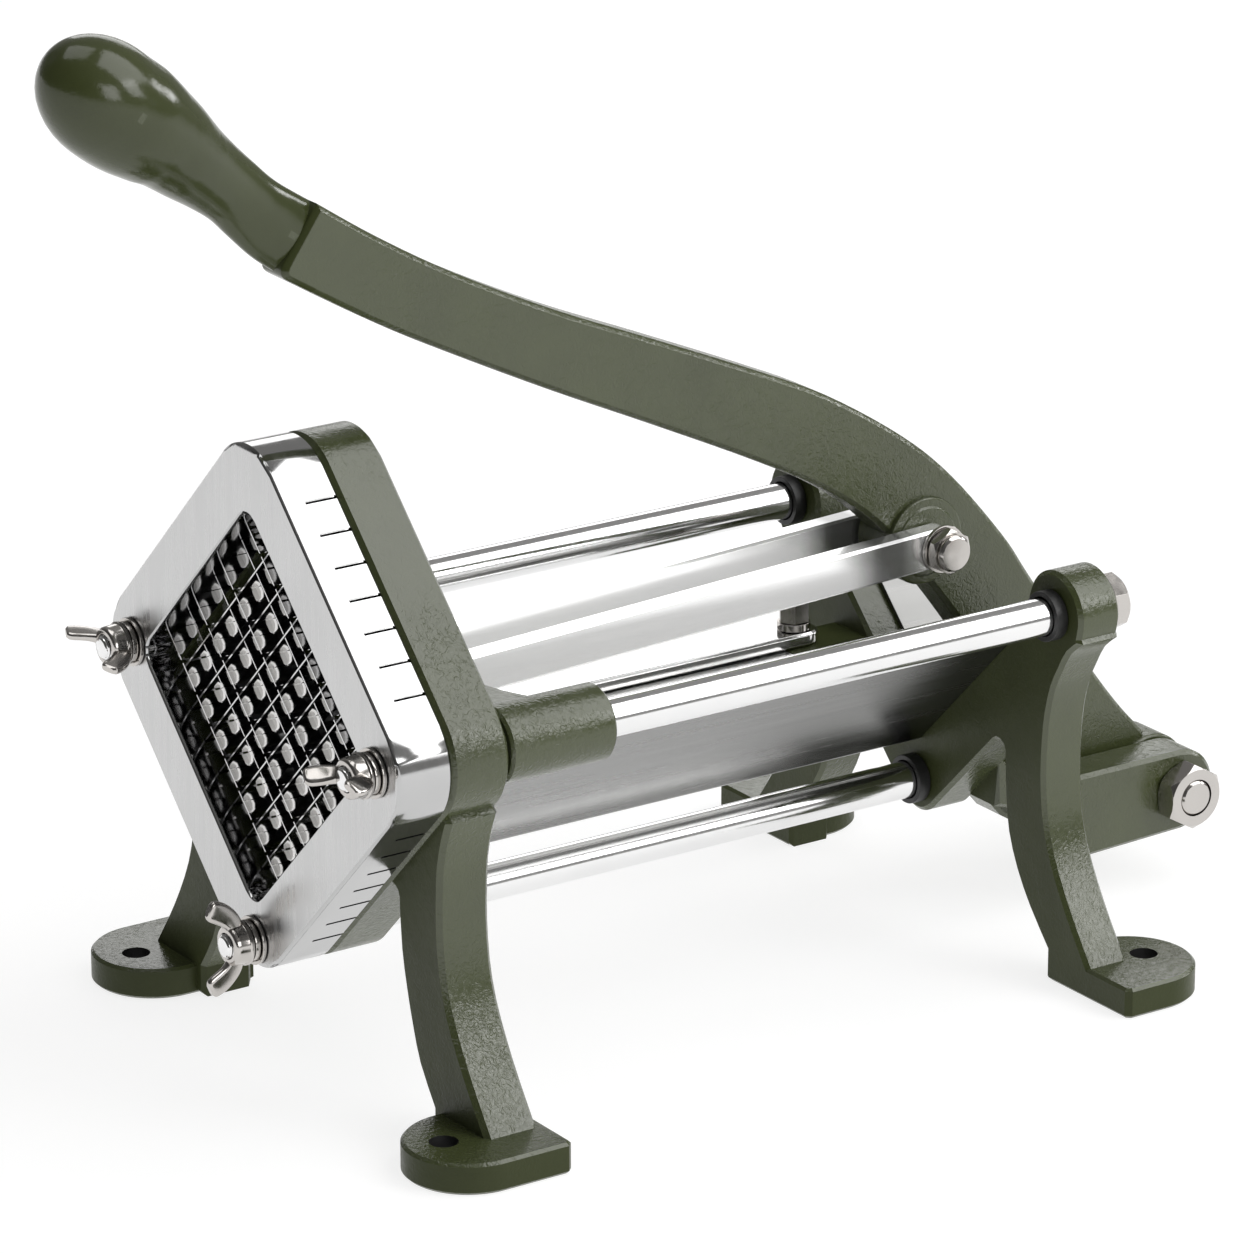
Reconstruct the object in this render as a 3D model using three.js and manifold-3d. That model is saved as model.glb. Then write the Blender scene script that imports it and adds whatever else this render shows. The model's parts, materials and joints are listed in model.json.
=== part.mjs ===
import * as THREE from 'three';
import { mergeVertices } from 'three/addons/utils/BufferGeometryUtils.js';
import Module from 'manifold-3d';

const wasm = await Module();
wasm.setup();

// Lengths are in millimetres. X is to the right, Y runs from the blades back to the lever, Z is up.
// While the pieces are made, Y is zero on the front face of the blade pan and Z is zero under the feet.
// The finished pieces then move along Y so that the origin lies under the middle of the cutter.

// Clearances
const fit = 0.3;
const runningFit = 0.3;
const swingFit = 0.35;

// Cutting grid: square cells of three eighths of an inch, standing on one corner
const cellPitch = 9.525;
const cellCount = 8;
const centreHeight = 102.8;

// Blade pan
const panRim = 16.65;
const panDepth = 15.9;
const panCorner = 17;
const panEdge = 0.8;
const openingCorner = 5;
const slotStart = 6.1;
const bladeThickness = 0.4;
const bladeEndInset = 1.6;

// Front frame
const ringDepth = 16.8;
const ringEdge = 1.1;
const ringOpeningMargin = 0.5;
const ringOpeningCorner = 5;
const frontLegSetback = 1.4;
const frontFootPastRing = 2.4;
const legRootInset = 4.5;
const legEdge = 1.3;

// Guide rods, tie rod and their studs
const rodRadius = 5.1;
const rodSpan = 178.1;
const sideRodPastCorner = 5.2;
const sideRodLift = 0.9;
const tieRodPastCorner = 9.3;
const studRadius = 3.25;
const studReach = 9.7;
const studChamfer = 0.7;
const rodBoreDepth = 18;

// Rear frame
const armDepth = 13.4;
const armEdge = 1.1;
const sideBossRadius = 11.7;
const bossStartAngle = -22;
const tieBossRadius = 9.6;
const armWidth = 18;
const valleyRadius = 6;
const apexRadius = 2.4;
const apexEndAngle = 6;

// Legs. The outer edge is widest at the foot, narrowest at the waist, and runs out again to the side boss.
// Each pair of shares is the way across from the waist and the way up.
const legLowerShares = [[1, 0], [0.68, 0.17], [0.41, 0.33], [0.18, 0.5], [0.05, 0.67], [0, 0.865]];
const frontLegFootX = 82;
const frontLegWaistX = 60.3;
const frontLegWidth = 19.5;
const frontLegWidthShares = [1.3, 1.28, 1.155, 1.04, 1, 0.99];
const frontLegUpperShares = [[0.02, 0.03], [0.07, 0.22], [0.25, 0.42], [0.48, 0.58]];
const rearLegFootX = 77.2;
const rearLegWaistX = 56;
const rearLegWidth = 17.5;
const rearLegWidthShares = [1.05, 1.13, 1.14, 1.09, 1.02, 1];
const rearLegUpperShares = [[0.02, 0.06], [0.08, 0.26], [0.22, 0.46], [0.42, 0.61], [0.66, 0.76], [0.99, 0.86]];

// Feet: distances run away from the straight edge at the leg
const footHeight = 8.5;
const footEdge = 0.8;
const footRadius = 17.2;
const footCentreX = 77.5;
const footCorner = 1.5;
const frontFootRound = 20.4;
const rearFootRound = 14.4;
const frontFootHole = 27;
const rearFootHole = 19.7;
const footHoleX = 76.2;
const footHoleRadius = 3.8;

// Ears behind the rear frame and the lever pivot
const pivotBehindFrame = 62.8;
const pivotHeight = 25.7;
const earInner = 7.4;
const earThickness = 13;
const earRadius = 11.7;
const earTopLift = 11.6;
const earRootRise = 10.9;
const earRootDrop = 5.1;
const earEdge = 1.1;
const earKneeBehind = 24;
const earKneeDrop = 12.5;
const pivotBoltRadius = 5;
const pivotNutFlat = 8.2;
const pivotNutHeight = 6.8;
const pivotBoltProud = 0.4;

// Lever. Each pair of shares is the way ahead of the pivot and the way above it.
const leverHalf = 6;
const leverEdge = 1.5;
const leverHubRadius = 12.4;
const leverReach = 272;
const leverRise = 210.5;
const leverTopShares = [
  [0.987, 0.989], [0.923, 0.935], [0.841, 0.874], [0.729, 0.803], [0.615, 0.74], [0.499, 0.675], [0.409, 0.62],
  [0.317, 0.545], [0.255, 0.477], [0.191, 0.383], [0.159, 0.324], [0.113, 0.238], [0.069, 0.16], [0.033, 0.102],
  [0.004, 0.063],
];
const leverUnderShares = [
  [1.031, 0.909], [0.924, 0.827], [0.842, 0.771], [0.73, 0.699], [0.615, 0.629], [0.498, 0.556], [0.414, 0.498],
  [0.357, 0.445], [0.313, 0.385], [0.274, 0.325], [0.243, 0.273], [0.206, 0.207], [0.165, 0.136], [0.118, 0.066],
  [0.07, 0.002], [0.029, -0.041],
];
const leverEndCorner = 2.6;
const pivotHubHalf = 7.1;

// Grip. Each pair of shares on its axis is the way ahead of the bar's end and the way above the bar's middle.
// The neck is flatter than the round grip, so the bar stands proud of it on both sides.
const gripRootRise = 198.4;
const gripLength = 71.2;
const gripRise = 56.75;
const gripRadius = 15;
const gripAxisShares = [
  [0.956, 1], [0.749, 0.767], [0.656, 0.679], [0.58, 0.607], [0.515, 0.545], [0.433, 0.454],
  [0.347, 0.366], [0.261, 0.276], [0.178, 0.175], [0.088, 0.081], [-0.035, -0.025],
];
const gripRadiusShares = [0, 1, 0.987, 0.913, 0.827, 0.73, 0.647, 0.6, 0.61, 0.65, 0.67];
const gripWidthShares = [1, 1, 1, 1, 1, 0.97, 0.88, 0.74, 0.59, 0.48, 0.44];
const gripNoseShares = [0.05, 0.15, 0.3, 0.5, 0.74];

// Linkage
const linkPinAhead = 79.8;
const linkPinUp = 84.6;
const linkHubRadius = 12.2;
const linkHubHalf = 7.4;
const linkStepRadius = 9.6;
const linkStepHalf = 8;
const linkThickness = 6;
const linkHeight = 11;
const linkEdge = 0.7;
const linkPinRadius = 4;
const linkWasherRadius = 6.6;
const linkWasherThickness = 1.2;
const linkHeadFlat = 5.7;
const linkHeadHeight = 3.2;
const linkCapRadius = 5.1;
const linkCapHeight = 1.8;
const frontPinBehindRing = 20.1;
const frontPinRadius = 3;
const frontPinHeadRadius = 5;
const frontPinHeadHeight = 3.6;

// Carriage and pusher block
const carriageSetback = 1.5;
const sleeveLength = 31.8;
const sleeveRadius = 10.1;
const sleeveEdge = 0.8;
const bushWall = 1.2;
const webHeight = 12;
const webDepth = 12.5;
const webFlare = 7.3;
const webFlareShares = [0, 0.36, 0.67, 0.93, 1];
const webRiseShares = [0, 0.31, 0.55, 0.88, 1];
const webFlareInner = 26;
const webFlareOuter = 47.5;
const webNotchHalf = 19.5;
const webNotchDepth = 3;
const webEndInset = 1;
const webEdge = 1;
const lugRadius = 7;
const backPlateSide = 60;
const backPlateDepth = 5;
const pinSize = 5.2;
const pinCorner = 1.3;
const pinSideMargin = 0.15;
const pinFrontGap = 2.4;
const pusherPlateDepth = 5.4;
const screwRadius = 2.5;
const screwHeadRadius = 4.2;
const screwHeadHeight = 3.2;
const screwSpread = 17;
const screwBite = 6;

// Trough and its rail
const sheet = 1.2;
const troughHalf = 36.42;
const troughBend = 2;
const nearWallReach = 45.8;
const railFromCentre = 26.2;
const railWidth = 11;
const railThickness = 3.8;
const flangeDrop = 29.7;
const flangeReach = 38;
const railEnd = 12.2;
const railBoltInset = 7;
const railBoltRadius = 2.5;
const railWasherRadius = 4.6;
const railWasherThickness = 2;
const railHeadFlat = 3.9;
const railHeadHeight = 5.4;
const railLugDepth = 24.5;
const railLugHeight = 11;
const railLugMargin = 1.8;
const railFrontLugDepth = 14;
const railScrewHeadRadius = 4.2;
const railScrewSocket = 1.5;
const railScrewSocketDepth = 1.6;

// Guard plates on the rear arms
const guardStart = 10.4;
const guardDepth = 18;
const guardInner = 11;
const guardOuter = 34;

// Fasteners on the studs and behind the rods
const flatWasherRadius = 6.5;
const flatWasherThickness = 1;
const springWasherRadius = 5.7;
const springWasherThickness = 1.4;
const springWasherSplit = 0.9;
const wingHubBase = 6;
const wingHubTip = 5.2;
const wingHubHeight = 5.2;
const wingThickness = 2.5;
const wingEdge = 0.5;
const wingOut = 13.5;
const wingAhead = 12.3;
const wingShares = [
  [0.57, 0.09], [0.73, 0.27], [0.88, 0.5], [0.99, 0.69], [0.96, 0.77], [0.68, 0.985], [0.61, 0.98],
  [0.52, 0.79], [0.41, 0.6],
];
const wingAngles = { left: 190, right: 171, bottom: 90 };
const collarRadius = 6.8;
const collarLength = 3.6;
const rearBoltRadius = 4;
const rearBoltFlat = 7;
const rearBoltHeight = 6.6;
const tieBoltFlat = 5.6;

// Roundness
const roundSides = 24;
const washerSides = 18;
const smallSides = 12;
const cornerSteps = 4;
const footSteps = 12;
const edgeSteps = 1;
const splineStepsPerSpan = 2;

// Angles
const halfTurn = 180;
const quarterTurn = 90;
const eighthTurn = 45;
const rightAngle = Math.PI / 2;

// Derived sizes
const root2 = Math.SQRT2;
const opening = cellPitch * cellCount;
const panSide = opening + 2 * panRim;
const cornerReach = opening / root2;
const sideRodX = cornerReach + sideRodPastCorner;
const sideRodZ = centreHeight + sideRodLift;
const tieRodZ = centreHeight - cornerReach - tieRodPastCorner;
const ringFront = panDepth + fit;
const ringBack = ringFront + ringDepth;
const ringFloor = centreHeight - panSide / root2;
const frontFootBack = ringBack + frontFootPastRing;
const rodFront = ringBack + fit;
const rodBack = rodFront + rodSpan;
const armFront = rodBack + fit;
const armBack = armFront + armDepth;
const armFloor = tieRodZ - tieBossRadius * root2;
const armCeiling = armFloor + armWidth * root2;
const pivotY = armBack + pivotBehindFrame;
const linkPinY = pivotY - linkPinAhead;
const linkPinZ = pivotHeight + linkPinUp;
const frontPinY = ringBack + frontPinBehindRing;
const frontPinZ = sideRodZ;
const linkInner = linkStepHalf + swingFit;
const linkOuter = linkInner + linkThickness;
const carriageFront = ringBack + carriageSetback;
const earOuter = earInner + earThickness;
const troughValley = centreHeight - troughHalf * root2;
const flangeHeight = centreHeight - flangeDrop;
const middleY = pivotY - (leverReach + gripLength - leverHubRadius) / 2;

const rodPlaces = [
  { side: 'left', x: -sideRodX, z: sideRodZ, boltFlat: rearBoltFlat },
  { side: 'right', x: sideRodX, z: sideRodZ, boltFlat: rearBoltFlat },
  { side: 'bottom', x: 0, z: tieRodZ, boltFlat: tieBoltFlat },
];

const frontLeg = {
  footX: frontLegFootX, waistX: frontLegWaistX, width: frontLegWidth,
  widthShares: frontLegWidthShares, upperShares: frontLegUpperShares, slopeFloor: ringFloor,
};
const rearLeg = {
  footX: rearLegFootX, waistX: rearLegWaistX, width: rearLegWidth,
  widthShares: rearLegWidthShares, upperShares: rearLegUpperShares, slopeFloor: armFloor,
};

// Finishes
const finishes = {
  enamel: { color: 0x4b513b, roughness: 0.35, metalness: 0 },
  polished: { color: 0xd6d7d8, roughness: 0.12, metalness: 1 },
  brushed: { color: 0xb9babb, roughness: 0.32, metalness: 1 },
  bright: { color: 0xc9c5bd, roughness: 0.25, metalness: 1 },
  cast: { color: 0xc2c3c0, roughness: 0.4, metalness: 0.9 },
  black: { color: 0x141414, roughness: 0.6, metalness: 0 },
};

const product = new THREE.Group();
product.name = 'french_fry_cutter';

// Solids

function body(geometry) {
  const bare = geometry.index ? geometry.toNonIndexed() : geometry.clone();
  bare.deleteAttribute('normal');
  bare.deleteAttribute('uv');
  const welded = mergeVertices(bare);
  const source = welded.index.array;
  const kept = [];
  for (let i = 0; i < source.length; i += 3) {
    const [a, b, c] = [source[i], source[i + 1], source[i + 2]];
    if (a !== b && b !== c && c !== a) kept.push(a, b, c);
  }
  const vertices = new Float32Array(welded.attributes.position.array);
  if (signedVolume(vertices, kept) < 0) {
    for (let i = 0; i < kept.length; i += 3) [kept[i], kept[i + 1]] = [kept[i + 1], kept[i]];
  }
  const mesh = new wasm.Mesh({ numProp: 3, vertProperties: vertices, triVerts: new Uint32Array(kept) });
  mesh.merge();
  return new wasm.Manifold(mesh);
}

function signedVolume(vertices, triangles) {
  const [a, b, c] = [new THREE.Vector3(), new THREE.Vector3(), new THREE.Vector3()];
  let total = 0;
  for (let i = 0; i < triangles.length; i += 3) {
    a.fromArray(vertices, 3 * triangles[i]);
    b.fromArray(vertices, 3 * triangles[i + 1]);
    c.fromArray(vertices, 3 * triangles[i + 2]);
    total += a.dot(b.cross(c));
  }
  return total;
}

function join(...bodies) {
  return bodies.reduce((sum, next) => sum.add(next));
}

function cut(base, ...tools) {
  return tools.reduce((rest, tool) => rest.subtract(tool), base);
}

function piece(name, solid, finish) {
  const mesh = solid.getMesh();
  const geometry = new THREE.BufferGeometry();
  geometry.setAttribute('position', new THREE.BufferAttribute(new Float32Array(mesh.vertProperties), 3));
  geometry.setIndex(new THREE.BufferAttribute(new Uint32Array(mesh.triVerts), 1));
  geometry.translate(0, -middleY, 0);
  const node = new THREE.Mesh(geometry, new THREE.MeshStandardMaterial(finishes[finish]));
  node.name = name;
  product.add(node);
}

// Outlines

function points(list) {
  return list.map(([u, v]) => new THREE.Vector2(u, v));
}

function arc(u, v, radius, from, to, steps) {
  const list = [];
  for (let i = 0; i <= steps; i++) {
    const angle = THREE.MathUtils.degToRad(from + ((to - from) * i) / steps);
    list.push(new THREE.Vector2(u + radius * Math.cos(angle), v + radius * Math.sin(angle)));
  }
  return list;
}

function spline(list) {
  return new THREE.SplineCurve(list).getPoints((list.length - 1) * splineStepsPerSpan);
}

function diamond(side, corner, x = 0, z = centreHeight, steps = cornerSteps) {
  const reach = (side / 2 - corner) * root2;
  const list = [];
  for (let quarter = 0; quarter < 4; quarter++) {
    const turn = quarterTurn * quarter;
    const angle = THREE.MathUtils.degToRad(turn);
    const [u, v] = [x + reach * Math.cos(angle), z + reach * Math.sin(angle)];
    list.push(...arc(u, v, corner, turn - eighthTurn, turn + eighthTurn, steps));
  }
  return list;
}

function mirrored(list) {
  return list.map((p) => new THREE.Vector2(-p.x, p.y)).reverse();
}

function outline(list, holes = []) {
  const shape = new THREE.Shape(list);
  holes.forEach((hole) => shape.holes.push(new THREE.Path(hole)));
  return shape;
}

// Plates: an outline in one plane, thickened along the axis in the name

function extruded(shapes, thickness, edge) {
  return new THREE.ExtrudeGeometry(shapes, {
    depth: thickness - 2 * edge,
    steps: 1,
    bevelEnabled: edge > 0,
    bevelThickness: edge,
    bevelSize: edge,
    bevelOffset: -edge,
    bevelSegments: edgeSteps,
  });
}

function plateY(shape, front, back, edge = 0) {
  const geometry = extruded(shape, back - front, edge);
  geometry.rotateX(rightAngle);
  geometry.translate(0, back - edge, 0);
  return body(geometry);
}

function plateX(shape, left, right, edge = 0) {
  const geometry = extruded(shape, right - left, edge);
  const [alongX, alongY, alongZ] = [new THREE.Vector3(1, 0, 0), new THREE.Vector3(0, 1, 0), new THREE.Vector3(0, 0, 1)];
  geometry.applyMatrix4(new THREE.Matrix4().makeBasis(alongY, alongZ, alongX));
  geometry.translate(left + edge, 0, 0);
  return body(geometry);
}

function plateZ(shape, bottom, top, edge = 0) {
  const geometry = extruded(shape, top - bottom, edge);
  geometry.translate(0, 0, bottom + edge);
  return body(geometry);
}

function roundY(radius, front, back, x, z, sides = roundSides) {
  const geometry = new THREE.CylinderGeometry(radius, radius, back - front, sides);
  geometry.translate(x, (front + back) / 2, z);
  return body(geometry);
}

function roundX(radius, left, right, y, z, sides = roundSides) {
  const geometry = new THREE.CylinderGeometry(radius, radius, right - left, sides);
  geometry.rotateZ(rightAngle);
  geometry.translate((left + right) / 2, y, z);
  return body(geometry);
}

function roundZ(radius, bottom, top, x, y, sides = roundSides) {
  const geometry = new THREE.CylinderGeometry(radius, radius, top - bottom, sides);
  geometry.rotateX(rightAngle);
  geometry.translate(x, y, (bottom + top) / 2);
  return body(geometry);
}

// A turned piece: the profile lists radius and distance along the axis
function turned(profile, sides = roundSides) {
  return new THREE.LatheGeometry(points(profile), sides);
}

function turnedY(profile, x, z, sides = roundSides) {
  const geometry = turned(profile, sides);
  geometry.translate(x, 0, z);
  return body(geometry);
}

function turnedX(profile, y, z, sides = roundSides) {
  const geometry = turned(profile, sides);
  geometry.rotateZ(-rightAngle);
  geometry.translate(0, y, z);
  return body(geometry);
}

function turnedZ(profile, x, y, sides = roundSides) {
  const geometry = turned(profile, sides);
  geometry.rotateX(rightAngle);
  geometry.translate(x, y, 0);
  return body(geometry);
}

// A ring profile that closes on itself
function ringProfile(inner, outer, from, to) {
  return [[inner, from], [outer, from], [outer, to], [inner, to], [inner, from]];
}

// A bar with chamfered ends, profile on the axis at both ends
function barProfile(radius, from, to, chamfer) {
  return [
    [0, from], [radius - chamfer, from], [radius, from + chamfer],
    [radius, to - chamfer], [radius - chamfer, to], [0, to],
  ];
}

// A hexagon by the distance from its axis to a flat, corners eased on the outer face
function hexGeometry(flat, height) {
  return new THREE.CylinderGeometry(flat / Math.cos(Math.PI / 6), flat / Math.cos(Math.PI / 6), height, 6);
}

function easedHexY(flat, front, back, x, z) {
  const geometry = hexGeometry(flat, back - front);
  geometry.translate(x, (front + back) / 2, z);
  const corner = flat / Math.cos(Math.PI / 6);
  const ease = corner - flat;
  const trim = barProfile(corner, front, back, ease);
  return body(geometry).intersect(turnedY(trim, x, z));
}

function easedHexX(flat, left, right, y, z) {
  const geometry = hexGeometry(flat, right - left);
  geometry.rotateZ(rightAngle);
  geometry.translate((left + right) / 2, y, z);
  const corner = flat / Math.cos(Math.PI / 6);
  const ease = corner - flat;
  return body(geometry).intersect(turnedX(barProfile(corner, left, right, ease), y, z));
}

// Legs and feet

function legOuter(leg) {
  const { lerp } = THREE.MathUtils;
  const bossX = sideRodX + sideBossRadius;
  const apexZ = leg.slopeFloor + leg.waistX - leg.width;
  const lower = legLowerShares.map(([across, up]) => {
    return new THREE.Vector2(lerp(leg.waistX, leg.footX, across), lerp(footHeight, apexZ, up));
  });
  const upper = leg.upperShares.map(([across, up]) => {
    return new THREE.Vector2(lerp(leg.waistX, bossX, across), lerp(apexZ, sideRodZ, up));
  });
  return [...lower, ...upper];
}

// The inner edge of a leg, down from the pointed arch where it meets the slope above it
function legInner(leg) {
  const outer = legOuter(leg);
  const stations = leg.widthShares.map((share, i) => new THREE.Vector2(outer[i].x - leg.width * share, outer[i].y));
  const edge = spline(stations.reverse());
  const archX = edge[0].x - apexRadius;
  const archZ = archX + leg.slopeFloor - apexRadius * root2;
  return [...arc(archX, archZ, apexRadius, quarterTurn + eighthTurn, apexEndAngle, cornerSteps), ...edge];
}

function footOutline(straightY, ahead, toRound) {
  const [inner, outer] = [footCentreX - footRadius, footCentreX + footRadius];
  const list = points([
    [inner, straightY],
    [outer - footCorner, straightY],
    [outer, straightY - ahead * footCorner],
  ]);
  list.push(...arc(footCentreX, straightY - ahead * toRound, footRadius, 0, -halfTurn * ahead, footSteps));
  return ahead > 0 ? list.reverse() : list;
}

function feet(straightY, ahead, toRound) {
  const right = footOutline(straightY, ahead, toRound);
  const bothSides = [outline(right), outline(mirrored(right))];
  return bothSides.map((shape) => plateZ(shape, 0, footHeight, footEdge));
}

function footHoles(y) {
  return [-footHoleX, footHoleX].map((x) => roundZ(footHoleRadius, -footEdge, footHeight + footEdge, x, y, washerSides));
}

// Front frame

// A leg's top reaches a little way into the ring's underside
function frontLegOutline() {
  const outer = spline(legOuter(frontLeg));
  const inner = legInner(frontLeg);
  const inset = legRootInset / root2;
  const roots = [outer[outer.length - 1], inner[0]].map((p) => new THREE.Vector2(p.x - inset, p.y + inset));
  const foot = points([[inner[inner.length - 1].x, 0], [frontLegFootX, 0]]);
  return [...outer, ...roots, ...inner, ...foot];
}

function frontFrame() {
  const opened = diamond(opening + 2 * ringOpeningMargin, ringOpeningCorner).reverse();
  const ring = plateY(outline(diamond(panSide, panCorner), [opened]), ringFront, ringBack, ringEdge);
  const right = frontLegOutline();
  const legs = [right, mirrored(right)].map((list) => plateY(outline(list), ringFront + frontLegSetback, ringBack, legEdge));
  const stand = feet(frontFootBack, 1, frontFootRound);
  const lug = railLug(ringBack - ringEdge, ringBack + railFrontLugDepth);
  const studs = rodPlaces.map(({ x, z }) => roundY(studRadius + fit, ringFront - fit, ringBack + fit, x, z, smallSides));
  return cut(join(ring, ...legs, ...stand, lug), ...studs, ...footHoles(frontFootBack - frontFootHole), railHole(frontRailBoltY()));
}

// Rear frame

function armOutline() {
  const fromTie = arc(0, tieRodZ, tieBossRadius, -quarterTurn, -eighthTurn, cornerSteps / 2);
  const inner = legInner(rearLeg);
  const foot = points([[inner[inner.length - 1].x, 0], [rearLegFootX, 0]]);
  const outer = spline(legOuter(rearLeg));
  const shift = (sideRodZ - armCeiling - sideRodX) / root2;
  const meet = halfTurn + eighthTurn + THREE.MathUtils.radToDeg(Math.asin(shift / sideBossRadius));
  const boss = arc(sideRodX, sideRodZ, sideBossRadius, bossStartAngle, meet, 3 * cornerSteps);
  const valley = arc(0, armCeiling + valleyRadius * root2, valleyRadius, -eighthTurn, -quarterTurn, cornerSteps);
  const right = [...fromTie, ...inner, ...foot, ...outer, ...boss, ...valley];
  const left = mirrored(right);
  return [...right, ...left.slice(1, left.length - 1)];
}

function earOutline() {
  const root = armBack - armEdge - fit;
  const knee = armBack + earKneeBehind;
  const [rootTop, rootBottom] = [tieRodZ + earRootRise, tieRodZ - earRootDrop];
  const [top, bottom] = [pivotHeight + earTopLift, pivotHeight - earRadius];
  const above = points([
    [root, rootTop],
    [armBack + earKneeBehind / 4, (rootTop + 2 * top) / 3],
    [knee, top],
  ]);
  const end = arc(pivotY, pivotHeight, earRadius, quarterTurn, -quarterTurn, 2 * cornerSteps);
  const under = points([
    [knee + earKneeDrop / 2, bottom - earEdge],
    [knee - earKneeDrop / 6, bottom + earKneeDrop / 3],
    [knee - earKneeDrop, rootBottom - earKneeDrop / 3],
    [root, rootBottom],
  ]);
  return [...above, ...end, ...under].reverse();
}

function railX() {
  return -(railFromCentre + railWidth / 2);
}

function frontRailBoltY() {
  return ringBack + railFrontLugDepth / 2;
}

function rearRailBoltY() {
  return armFront - railEnd - railBoltInset;
}

function railLug(front, back) {
  const half = railWidth / 2 + railLugMargin;
  const list = points([
    [railX() - half, flangeHeight - railLugHeight],
    [railX() + half, flangeHeight - railLugHeight],
    [railX() + half, flangeHeight],
    [railX() - half, flangeHeight],
  ]);
  return plateY(outline(list), front, back);
}

function railHole(y) {
  return roundZ(railBoltRadius + fit, flangeHeight - 2 * railLugHeight, flangeHeight + fit, railX(), y, smallSides);
}

function rearFrame() {
  const arms = plateY(outline(armOutline()), armFront, armBack, armEdge);
  const ear = outline(earOutline());
  const ears = [plateX(ear, earInner, earOuter, earEdge), plateX(ear, -earOuter, -earInner, earEdge)];
  const stand = feet(armFront, -1, rearFootRound);
  const lug = railLug(armFront - railLugDepth, armFront + armEdge);
  const bolts = rodPlaces.map(({ x, z, side }) => {
    const radius = (side === 'bottom' ? studRadius : rearBoltRadius) + fit;
    return roundY(radius, armFront - fit, armBack + fit, x, z, smallSides);
  });
  const pivotHole = roundX(pivotBoltRadius + runningFit, -earOuter - fit, earOuter + fit, pivotY, pivotHeight);
  const holes = [...bolts, pivotHole, ...footHoles(armFront + rearFootHole), railHole(rearRailBoltY())];
  return cut(join(arms, ...ears, ...stand, lug), ...holes);
}

// Blade pan and blades

function slotOffsets() {
  const list = [];
  for (let i = 1; i < cellCount; i++) list.push((i - cellCount / 2) * cellPitch);
  return list;
}

// A flat strip standing on edge across the grid; lean is plus or minus 45 degrees about Y
function strip(length, height, thickness, offset, front, lean) {
  const geometry = new THREE.BoxGeometry(length, height, thickness);
  geometry.translate(0, front + height / 2, offset);
  geometry.rotateY(lean * rightAngle / 2);
  geometry.translate(0, 0, centreHeight);
  return geometry;
}

function bladePan() {
  const opened = diamond(opening, openingCorner).reverse();
  const rim = plateY(outline(diamond(panSide, panCorner), [opened]), 0, panDepth, panEdge);
  const slots = [];
  [-1, 1].forEach((lean) => slotOffsets().forEach((offset) => {
    const width = bladeThickness + 2 * fit;
    slots.push(body(strip(panSide + 2 * fit, panDepth, width, offset, slotStart, lean)));
  }));
  const studs = rodPlaces.map(({ x, z }) => roundY(studRadius + fit, -fit, panDepth + fit, x, z, smallSides));
  return cut(rim, ...slots, ...studs);
}

function addBlades() {
  const front = slotStart + fit;
  const height = panDepth - fit - front;
  const length = panSide - 2 * bladeEndInset;
  const notch = height / 2 + fit;
  const names = { '-1': 'blade_rising', 1: 'blade_falling' };
  [-1, 1].forEach((lean) => {
    slotOffsets().forEach((offset, i) => {
      const blade = body(strip(length, height, bladeThickness, offset, front, lean));
      const notchFront = lean > 0 ? front - fit : front + height - notch + fit;
      const notches = slotOffsets().map((across) => {
        const geometry = new THREE.BoxGeometry(bladeThickness + 2 * fit, notch, cellPitch / 2);
        geometry.translate(across, notchFront + notch / 2, offset);
        geometry.rotateY(lean * rightAngle / 2);
        geometry.translate(0, 0, centreHeight);
        return body(geometry);
      });
      piece(`${names[lean]}_${i + 1}`, cut(blade, ...notches), 'polished');
    });
  });
}

// Rods and the hardware on them

function rod({ x, z, side }) {
  const bore = (side === 'bottom' ? studRadius : rearBoltRadius) + fit;
  const profile = [
    [0, -studReach], [studRadius - studChamfer, -studReach], [studRadius, -studReach + studChamfer],
    [studRadius, rodFront], [rodRadius, rodFront], [rodRadius, rodBack],
    [bore, rodBack], [bore, rodBack - rodBoreDepth], [0, rodBack - rodBoreDepth],
  ];
  return turnedY(profile, x, z);
}

function springWasher(x, z, front) {
  const ring = turnedY(ringProfile(studRadius + fit, springWasherRadius, front, front + springWasherThickness), x, z, washerSides);
  const gap = new THREE.BoxGeometry(springWasherSplit, 2 * springWasherThickness, springWasherRadius);
  gap.rotateY(-rightAngle / 3);
  gap.translate(x, front + springWasherThickness / 2, z);
  gap.translate(springWasherRadius / 2, 0, -springWasherRadius / 2);
  return cut(ring, body(gap));
}

function wingNut(x, z, back, angle) {
  const hub = [
    [studRadius + fit, -wingHubHeight], [wingHubTip, -wingHubHeight], [wingHubBase, 0],
    [studRadius + fit, 0], [studRadius + fit, -wingHubHeight],
  ];
  const hubGeometry = turned(hub, washerSides);
  hubGeometry.translate(x, back, z);
  const inside = (studRadius + wingHubTip) / 2;
  const list = [
    new THREE.Vector2(inside, fit),
    new THREE.Vector2(wingHubBase, fit),
    ...wingShares.map(([out, ahead]) => new THREE.Vector2(wingOut * out, wingAhead * ahead)),
    new THREE.Vector2(inside, wingHubHeight - fit),
  ];
  const wings = [0, halfTurn].map((turn) => {
    const geometry = extruded(outline(list), wingThickness, wingEdge);
    geometry.translate(0, 0, -wingThickness / 2 + wingEdge);
    geometry.rotateX(Math.PI);
    geometry.rotateY(THREE.MathUtils.degToRad(angle + turn));
    geometry.translate(x, back, z);
    return body(geometry);
  });
  return join(body(hubGeometry), ...wings);
}

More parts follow.
